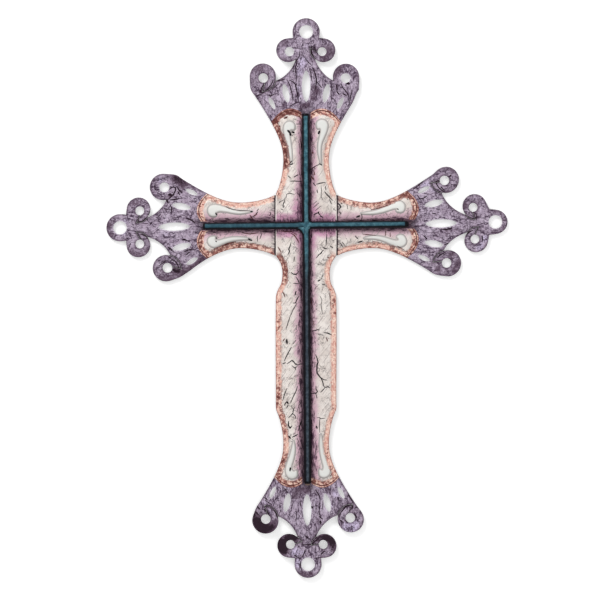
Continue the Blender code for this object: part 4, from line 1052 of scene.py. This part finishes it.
def buildBar(node, axis, tips, paint):
    # a brushed round bar in the place of its solid; tips names the ends that are necked down
    low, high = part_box(node)
    alongAxis = "xyz".index(axis)
    across = 2 - alongAxis
    radius, endRound, neckLength = (high.y - low.y) / 2, bars["endRound"], bars["tipLength"]
    start, end = low[alongAxis], high[alongAxis]
    points = np.array([v.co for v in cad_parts[node].data.vertices])
    ends = []
    for edge, shift in zip((start, end), bars["lean"].get(node, (0, 0))):
        near = points[abs(points[:, alongAxis] - edge) < 2.5 * mm]
        ends.append((near.max(0) + near.min(0)) / 2)
        ends[-1][across] += shift
    stations = list(np.linspace(start, end, max(3, int((end - start) / bars["ringEvery"]))))
    for place, way in ((start, 1), (end, -1)):
        stations += [place + way * endRound * k for k in (0.12, 0.4, 0.75)]
        stations += [place + way * (neckLength + endRound * k) for k in (-0.3, 0.0, 0.3)]
    work = bmesh.new()
    rows = []
    for s in sorted(set(round(s, 7) for s in stations)):
        centre = ends[0] + (ends[1] - ends[0]) * (s - start) / (end - start)
        size = radius
        for place, name in ((start, "start"), (end, "end")):
            gap = abs(s - place)
            if name in tips:
                neck = min(1, max(0, (gap - neckLength) / endRound + 0.5))
                size *= bars["tipRadius"] + (1 - bars["tipRadius"]) * neck
            size *= 1 - max(0, 1 - gap / endRound) ** 2 * 0.35
        row = []
        for k in range(bars["sides"]):
            angle = 2 * pi * k / bars["sides"]
            wobble = noise.noise(Vector((cos(angle) * 1.2, sin(angle) * 1.2, s / bars["wanderLength"])))
            r = size + bars["wander"] * (wobble - 0.4)
            spot = Vector(centre)
            spot[alongAxis] = s
            spot.y = (low.y + high.y) / 2 + r * sin(angle)
            spot[across] += r * cos(angle)
            row.append(work.verts.new(spot))
        rows.append(row)
    for a, b in zip(rows[:-1], rows[1:]):
        for k in range(bars["sides"]):
            n = (k + 1) % bars["sides"]
            work.faces.new((a[k], a[n], b[n], b[k]))
    work.faces.new(rows[0])
    work.faces.new(rows[-1])
    bmesh.ops.recalc_face_normals(work, faces=work.faces)
    mesh = bpy.data.meshes.new(node + "Bar")
    work.to_mesh(mesh)
    work.free()
    mesh.shade_smooth()
    mesh.set_sharp_from_angle(angle=radians(bars["edgeTurn"]))
    mesh.materials.append(paint)
    piece = linked(node + "Bar", mesh)
    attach(piece, "root")
    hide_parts(node)


weld = {
    "stub": 11.0 * mm,
    "barRadius": 3.65 * mm,
    "stubRadius": 2.9 * mm,
    "webRadius": 2.9 * mm,
    "webSteps": 12,
    "setBack": 0.22 * mm,  # towards the wall, so that its front is level with the bars
    "voxel": 0.26 * mm,
    "smoothing": 8,
    # each corner's web as x side, z side and how far it runs along the bars
    "webs": [(-1, -1, 13.5 * mm), (1, -1, 7.0 * mm), (1, 1, 5.0 * mm), (-1, 1, 3.5 * mm)],
}


def buildWeld(paint):
    # the bead that joins the bars, with a web in each corner of the crossing
    low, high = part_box("upright_rod")
    left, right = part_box("left_arm_rod"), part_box("right_arm_rod")
    armZ = [(box[0].z + box[1].z) / 2 for box in (left, right)]
    middleY = (low.y + high.y) / 2 + weld["setBack"]
    centre = Vector(((left[1].x + right[0].x) / 2, middleY, sum(armZ) / 2))
    work = bmesh.new()

    def rod(a, b, radius, farRadius):
        along = b - a
        place = Matrix.Translation((a + b) / 2) @ along.to_track_quat("Z", "X").to_matrix().to_4x4()
        bmesh.ops.create_cone(
            work, cap_ends=True, segments=24, radius1=radius, radius2=farRadius, depth=along.length, matrix=place,
        )

    for way in (Vector((0, 0, 1)), Vector((0, 0, -1)), Vector((1, 0, 0)), Vector((-1, 0, 0))):
        rod(centre - way * 2 * mm, centre + way * weld["stub"], weld["barRadius"], weld["stubRadius"])
    for sideX, sideZ, run in weld["webs"]:
        for t in np.linspace(0.08, 0.92, weld["webSteps"]):
            a = centre + Vector((sideX * run * t, 0, 0))
            b = centre + Vector((0, 0, sideZ * run * (1 - t)))
            rod(a, b, weld["webRadius"], weld["webRadius"])
    mesh = bpy.data.meshes.new("weldRough")
    work.to_mesh(mesh)
    work.free()
    rough = linked("weldRough", mesh)
    fuse = rough.modifiers.new("fuse", "REMESH")
    fuse.mode = "VOXEL"
    fuse.voxel_size = weld["voxel"]
    rough.modifiers.new("ease", "SMOOTH").iterations = weld["smoothing"]
    graph = bpy.context.evaluated_depsgraph_get()
    final = bpy.data.meshes.new_from_object(rough.evaluated_get(graph))
    bpy.data.objects.remove(rough)
    final.name = "weldBead"
    final.shade_smooth()
    final.materials.clear()
    final.materials.append(paint)
    piece = linked("weldBead", final)
    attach(piece, "root")


sheetColours = {
    "cream": srgb(225, 214, 207),
    "creamPale": srgb(242, 234, 228),
    "creamGrey": srgb(192, 182, 178),
    "hatch": srgb(170, 158, 155),
    "pink": srgb(214, 172, 190),
    "rose": srgb(204, 144, 178),
    "plum": srgb(92, 62, 84),
    "plumDeep": srgb(52, 32, 48),
    "ink": srgb(24, 16, 24),
    "crack": srgb(52, 40, 44),
    "copper": srgb(238, 195, 180),
    "copperPale": srgb(253, 228, 212),
    "copperDeep": srgb(198, 124, 112),
    "rust": srgb(124, 62, 58),
    "rustDeep": srgb(84, 40, 38),
    "silver": srgb(229, 229, 225),
    "silverLine": srgb(156, 160, 160),
    "mauve": srgb(182, 165, 184),
    "mauvePale": srgb(212, 198, 217),
    "mauveDeep": srgb(130, 109, 134),
    "lavender": srgb(212, 198, 228),
    "finialPlum": srgb(84, 62, 80),
    "finialDark": srgb(36, 17, 31),
    "crackle": srgb(58, 38, 60),
    "cutEdge": srgb(222, 211, 225),
}


def sheetPaint(name, groups, seed):
    # cream, pink and copper panels with mauve finials, all by place on the sheet
    material, tree, shader = newPaint(name)
    onArms = name.startswith("crossbar")
    keys = ("rim", "end", "rod", "plum", "curl", "edge", "hole", "out", "ink", "brown", "tone", "rust")
    rim, end, rod, plum, curl, edge, hole, out, ink, brown, tone, rust = (field(tree, key) for key in keys)
    blotches, crackle, strokes, veins = groups
    mul, ramp, ring = (partial(made, tree) for made in (times, fade, band))
    add = partial(calc, tree, "ADD")
    place = objectPlace(tree, seed)
    drawn = vector(tree, "MULTIPLY", place, (0.22, 1, 1) if onArms else (1, 1, 0.22))
    noises = {
        "fine": clouds(tree, place, 1.1, 4.0, 0.7),
        "broad": clouds(tree, place, 0.16, 3.0, 0.6),
        "streaks": clouds(tree, drawn, 0.75, 4.0, 0.7),
        "hairs": clouds(tree, drawn, 1.15, 3.0, 0.7),
        "smudge": clouds(tree, place, 0.40, 5.0, 0.68),
        "grit": clouds(tree, place, 0.62, 4.0, 0.72),
    }

    def uneven(value, **amounts):
        # shifts a distance by the noises named, so that a painted edge is not ruled
        for key, amount in amounts.items():
            value = add(value, mul(calc(tree, "SUBTRACT", noises[key], 0.5), amount))
        return value

    def patches(size, amount, softness, offset):
        return use(tree, blotches, Size=size, Amount=amount, Softness=softness, Seed=seed + offset)

    def marks(length, width, slant, coverage, offset):
        return use(tree, strokes, Length=length, Width=width, Slant=slant, Coverage=coverage, Seed=seed + offset)

    def coat(below, colour, *masks):
        # a colour over what is below, as far as all the masks let it
        return over(tree, mul(*masks), below, sheetColours[colour] if isinstance(colour, str) else colour)

    # cream ground with pink beside the bars
    along, pinkReach = (1.45, 9.5) if onArms else (0.12, 6.0)
    panel = coat(sheetColours["cream"], "creamPale", patches(9.0, 0.5, 0.16, 0))
    panel = coat(panel, "creamGrey", patches(5.0, 0.35, 0.12, 9), 0.45)
    panel = coat(panel, "pink", ramp(uneven(plum, broad=6.0, streaks=4.0), pinkReach, 0.5), 0.9)
    panel = coat(panel, "rose", ramp(out, 26.0, 12.0), ramp(uneven(plum, broad=8.0), 8.5, 1.0), 0.75)
    panel = coat(panel, "hatch", marks(7.0, 0.6, -0.62, 0.5, 3), 0.75)
    fineVeins = use(tree, veins, Size=3.6, Width=0.20, Coverage=0.30, Seed=seed + 17)
    panel = coat(panel, "crack", fineVeins, 0.45)
    cracks = use(tree, crackle, Size=8.0, Width=0.28, Bend=4.0, Coverage=0.42, Seed=seed + 5)
    panel = coat(panel, "crack", cracks, 0.75)
    panel = coat(panel, "crack", patches(0.7, 0.19, 0.04, 25), ramp(noises["broad"], 0.42, 0.6), 0.8)

    # plum beside the bars, dragged into streaks: airbrushed paint and painted shade of the bars and their valleys
    smears = marks(3.4, 0.8, along, 0.8, 13)
    ragged = uneven(plum, streaks=9.0, hairs=10.0, broad=3.0)
    panel = coat(panel, "plum", ramp(ragged, 0.4, -0.6), add(0.40, mul(smears, 0.5)))
    panel = coat(panel, "plumDeep", ramp(ragged, 1.6, 0.0), marks(4.5, 0.85, along, 0.62, 15), 0.8)
    paleStreaks = marks(4.0, 0.80, along, 0.52, 19)
    panel = coat(panel, "pink", ramp(ragged, 1.2, -0.4), ramp(ragged, -4.2, -2.6), paleStreaks, 0.75)
    panel = coat(panel, "plumDeep", ramp(ragged, -2.8, -4.2), 0.5)

    # silver curls, greyer towards their edges as painted shade of their raised relief, with a grey line round them,
    # and the drawn lines
    silver = over(tree, ramp(curl, 0.4, 1.6), sheetColours["creamGrey"], sheetColours["silver"])
    silver = coat(silver, "silverLine", ring(curl, 0.0, 0.12, 0.38), 0.8)
    panel = coat(panel, silver, ramp(uneven(curl, fine=0.4), -0.45, -0.1))
    panel = coat(panel, "ink", ramp(uneven(ink, fine=0.6), 0.20, -0.02))
    panel = coat(panel, "rustDeep", ramp(uneven(brown, fine=0.7), 0.3, -0.15))
    # a near-black band right beside the bar: painted contact shade in its valley, partly dark paint
    panel = coat(panel, "ink", ramp(rod, 3.75, 3.35), 0.6)

    # copper rims and end beads, mottled with rust
    copper = coat(sheetColours["copper"], "copperPale", patches(3.0, 0.5, 0.12, 21))
    copper = coat(copper, "copperDeep", patches(1.6, 0.42, 0.1, 31), 0.6)
    copper = coat(copper, "copperDeep", marks(4.5, 0.5, along, 0.6, 33), 0.6)
    mottle = uneven(rust, smudge=3.6)
    copper = coat(copper, "rust", ramp(uneven(mottle, broad=1.0), 0.42, 0.64), 0.85)
    copper = coat(copper, "rustDeep", ramp(mottle, 0.86, 1.06), 0.85)
    wornRim = uneven(rim, smudge=6.0, broad=2.0)
    seamStart = ramp(uneven(out, broad=8.0), 21.0, 28.0)
    corner = add(calc(tree, "MAXIMUM", rim, 3.0), calc(tree, "MAXIMUM", end, 1.0))
    corner = uneven(calc(tree, "SUBTRACT", corner, mul(rust, 4.5)), smudge=8.0, broad=2.0)
    trims = [
        mul(ramp(wornRim, 5.6, 3.6), seamStart), ramp(uneven(end, smudge=4.0), 3.0, 2.0),
        mul(ramp(corner, 8.2, 6.4), ramp(curl, 0.0, -0.4)),
    ]
    trim = calc(tree, "MAXIMUM", calc(tree, "MAXIMUM", trims[0], trims[1]), trims[2])
    clearOfRod = ramp(rod, 3.6, 4.4)
    panel = coat(panel, copper, trim, clearOfRod)
    rusty = ramp(add(rust, noises["broad"]), 0.6, 1.1)
    panel = coat(panel, "rust", ring(wornRim, 4.9, 0.2, 0.4), seamStart, rusty, ramp(end, -0.5, 0.5), 0.75)
    panel = coat(panel, "rust", ramp(uneven(edge, grit=0.8), 1.0, 0.2), seamStart, 0.62)
    endLine = ring(uneven(end, fine=0.4), sheets["endLine"], 0.32, 0.3)
    panel = coat(panel, "rustDeep", endLine, clearOfRod, 0.95)
    outerLine = ring(uneven(end, fine=0.6), sheets["endOuter"] + 0.1, 0.15, 0.3)
    panel = coat(panel, "rust", outerLine, clearOfRod, 0.7)

    # mauve finials with a dark crackle, pale in the middle, with painted highlight round the holes and painted shade
    # darkening along their edges
    mauve = coat(sheetColours["mauve"], "mauvePale", patches(5.0, 0.5, 0.2, 61), 0.7)
    mauve = coat(mauve, "mauveDeep", patches(7.0, 0.34, 0.12, 71), 0.4)
    for slant, offset in ((0.0, 101), (1.5708, 111)):  # a weave of two ways
        mauve = coat(mauve, "mauveDeep", marks(4.5, 0.38, slant, 0.6, offset), 0.42)
    mauve = coat(mauve, "lavender", ramp(uneven(mul(tone, -1.0), fine=0.5, broad=0.4), 0.12, 0.5), 0.8)
    # painted highlight round the holes, where their cut edges catch the light
    mauve = coat(mauve, "cutEdge", ramp(hole, 2.2, 0.4), ramp(edge, 0.8, 2.6), 0.35)
    # painted shade darkening the outer edges, in place of their rolled-back relief
    mauve = coat(mauve, "finialPlum", ramp(uneven(edge, grit=3.0, broad=2.5), 2.6, 0.0), 0.7)
    wide, tall = (0.45, 1.1) if onArms else (1.1, 0.45)
    net = use(tree, veins, Size=6.5, Width=0.40, Coverage=0.85, Wide=wide, Tall=tall, Seed=seed + 81)
    fineNet = use(tree, veins, Size=3.0, Width=0.24, Coverage=0.7, Wide=wide, Tall=tall, Seed=seed + 85)
    cells = use(tree, crackle, Size=4.4, Width=0.30, Bend=3.5, Coverage=0.65, Seed=seed + 89)
    for lines, strength in ((fineNet, 0.58), (cells, 0.75), (net, 0.9)):
        mauve = coat(mauve, "crackle", lines, strength)
    mauve = coat(mauve, "finialPlum", ramp(uneven(tone, grit=1.6, broad=0.5), 0.2, 0.85), 0.85)
    mauve = coat(mauve, "finialDark", ramp(uneven(tone, grit=2.4), 0.85, 1.3), 0.95)
    mauve = coat(mauve, "finialPlum", patches(0.9, 0.2, 0.05, 91), 0.35)
    # a thin painted highlight right along the holes' edges
    mauve = coat(mauve, "cutEdge", ramp(uneven(hole, fine=0.5), 0.7, 0.15), 0.5)
    besideRodEnd = ramp(uneven(rod, broad=5.0), 8.5, 2.0)
    mauve = coat(mauve, "finialDark", besideRodEnd, ramp(uneven(end, broad=4.0), -11.0, -3.5), 0.8)
    mauve = coat(mauve, "finialDark", ramp(uneven(ink, fine=0.5), 0.26, 0.0))
    inPanel = ramp(uneven(end, fine=0.5), sheets["endOuter"] - 0.15, sheets["endOuter"] + 0.15)
    colour = over(tree, inPanel, mauve, panel)
    if onArms:
        # painted shadow in the seam under the upright's edge, and painted plum shade with some mottling beside it
        colour = coat(colour, "ink", ramp(uneven(out, fine=1.0), 27.7, 26.9))
        colour = coat(colour, "plumDeep", ramp(uneven(out, fine=4.0, broad=3.0), 31.0, 27.0), smears, 0.8)
    else:
        # painted highlight along the upright's cut edge beside the seam
        besideRod = ramp(uneven(rod, fine=1.0), 4.2, 5.2)
        colour = coat(colour, "creamPale", ramp(rim, 0.75, 0.4), ramp(out, 27.0, 25.0), besideRod, 0.8)

    grain = mul(noises["fine"], 0.5)
    brushed = calc(tree, "SUBTRACT", grain, mul(calc(tree, "MAXIMUM", cracks, net), 0.5))
    bump = put(tree, "Bump", {"Height": brushed, "Strength": 0.25, "Distance": 0.25 * mm})
    plug(tree, shader, {
        "Base Color": colour, "Roughness": add(0.40, mul(noises["fine"], 0.25)), "Specular IOR Level": 0.15,
        "Normal": bump.outputs[0],
    })
    return material


barPaint = {
    "teal": srgb(60, 106, 120),
    "tealPale": srgb(96, 141, 154),
    "tealDeep": srgb(38, 70, 84),
    "slate": srgb(46, 50, 60),
    "slatePale": srgb(76, 83, 95),
    "shadow": srgb(9, 7, 15),
    "bare": srgb(120, 100, 92),
    "lit": (0.04, -0.992, 0.12),  # the way that the painted lit teal strip faces; the flanks turned away from it get painted shade
    "roughness": 0.42,
    "specular": 0.12,
}

# strip is where the teal gives way to the painted shade, 0 in front and 1 at the sides; dim darkens the teal;
# slateBelow is where the shaft turns to slate; each band is an axis, where black painted shade starts on it, and where
# bare steel does
barLooks = {
    "upright_rod": {
        "paint": "uprightBarPaint", "axis": "z", "tips": ("start",), "seed": 5.0, "slateBelow": (-0.178, -0.222),
        "bands": [(2, (-0.0734, -0.0722), None), (2, (-0.3856, -0.3864), (-0.3880, -0.3884))],
    },
    "left_arm_rod": {
        "paint": "leftBarPaint", "axis": "x", "tips": (), "seed": 25.0, "dim": 0.7,
        "bands": [(0, (-0.0862, -0.0872), None)],
    },
    "right_arm_rod": {
        "paint": "rightBarPaint", "axis": "x", "tips": ("end",), "seed": 45.0, "dim": 0.35,
        "bands": [(0, (0.0838, 0.0852), None)],
    },
    "weld": {"paint": "weldPaint", "seed": 65.0, "strip": (0.30, 0.72)},
}


def rodPaint(bar, blotches):
    # teal along the front, with painted shade near black down both flanks, partly dark paint
    look = {"dim": 0.0, "slateBelow": None, "bands": (), "strip": (0.28, 0.68)} | barLooks[bar]
    material, tree, shader = newPaint(look["paint"])
    normal = put(tree, "NewGeometry").outputs["Normal"]
    facingLitWay = put(tree, "VectorMath", {0: normal, 1: barPaint["lit"]}, operation="DOT_PRODUCT").outputs["Value"]
    slope = calc(tree, "SQRT", calc(tree, "SUBTRACT", 1.0001, times(tree, facingLitWay, facingLitWay)))
    place = put(tree, "SeparateXYZ", {0: put(tree, "TexCoord").outputs["Object"]}).outputs
    cloud = clouds(tree, objectPlace(tree, look["seed"]), 0.6, 3.0)

    def patches(size, amount, offset):
        return use(tree, blotches, Size=size, Amount=amount, Softness=0.13, Seed=look["seed"] + offset)

    def coat(below, colour, *masks):
        return over(tree, times(tree, *masks), below, barPaint[colour])

    colour = coat(barPaint["teal"], "tealPale", patches(3.0, 0.45, 0))
    colour = coat(colour, "tealDeep", patches(3.6, 0.48, 9), 0.75)
    colour = coat(colour, "tealDeep", look["dim"])
    ragged = calc(tree, "ADD", slope, times(tree, calc(tree, "SUBTRACT", cloud, 0.5), 0.35))
    if look["slateBelow"]:
        slate = coat(barPaint["slate"], "slatePale", patches(2.4, 0.42, 19))
        low = fade(tree, place[2], *look["slateBelow"])
        colour = over(tree, times(tree, low, 0.92), colour, slate)
        ragged = calc(tree, "ADD", ragged, times(tree, low, 0.12))
    # painted shade on the flanks that turn away from the lit way, partly dark paint
    colour = coat(colour, "shadow", fade(tree, ragged, *look["strip"]))
    # a black band of painted shade near each end, then bare steel where given
    for axis, dark, bare in look["bands"]:
        colour = coat(colour, "shadow", fade(tree, place[axis], *dark))
        if bare:
            colour = coat(colour, "bare", fade(tree, place[axis], *bare))
    finish = {"Roughness": barPaint["roughness"], "Specular IOR Level": barPaint["specular"]}
    plug(tree, shader, {"Base Color": colour} | finish)
    return material


undercoatPaint = {"dark": srgb(58, 50, 56), "pale": srgb(84, 74, 80), "roughness": 0.62}


def backPaint(blotches):
    # the plain undercoat of the side that faces the wall
    material, tree, shader = newPaint("undercoat")
    dull = use(tree, blotches, Size=14.0, Amount=0.5, Softness=0.2, Seed=4.0)
    colour = over(tree, dull, undercoatPaint["dark"], undercoatPaint["pale"])
    plug(tree, shader, {"Base Color": colour, "Roughness": undercoatPaint["roughness"]})
    return material


setUpStudio()
buildWall()
print("studio ready")
drawnLines = {"ink": taperedLines(blackLines + finialLines), "brown": taperedLines(brownLines)}
blotches = makeBlotches()
paintGroups = (blotches, makeCrackle(), makeStrokes(), makeVeins())
undercoat = backPaint(blotches)
buildSheet("upright", sheetPaint("uprightPaint", paintGroups, 3.0), undercoat)
buildSheet("crossbar", sheetPaint("crossbarPaint", paintGroups, 57.0), undercoat)
for bar in ("upright_rod", "left_arm_rod", "right_arm_rod"):
    buildBar(bar, barLooks[bar]["axis"], barLooks[bar]["tips"], rodPaint(bar, blotches))
buildWeld(rodPaint("weld", blotches))
print("bars and weld ready")
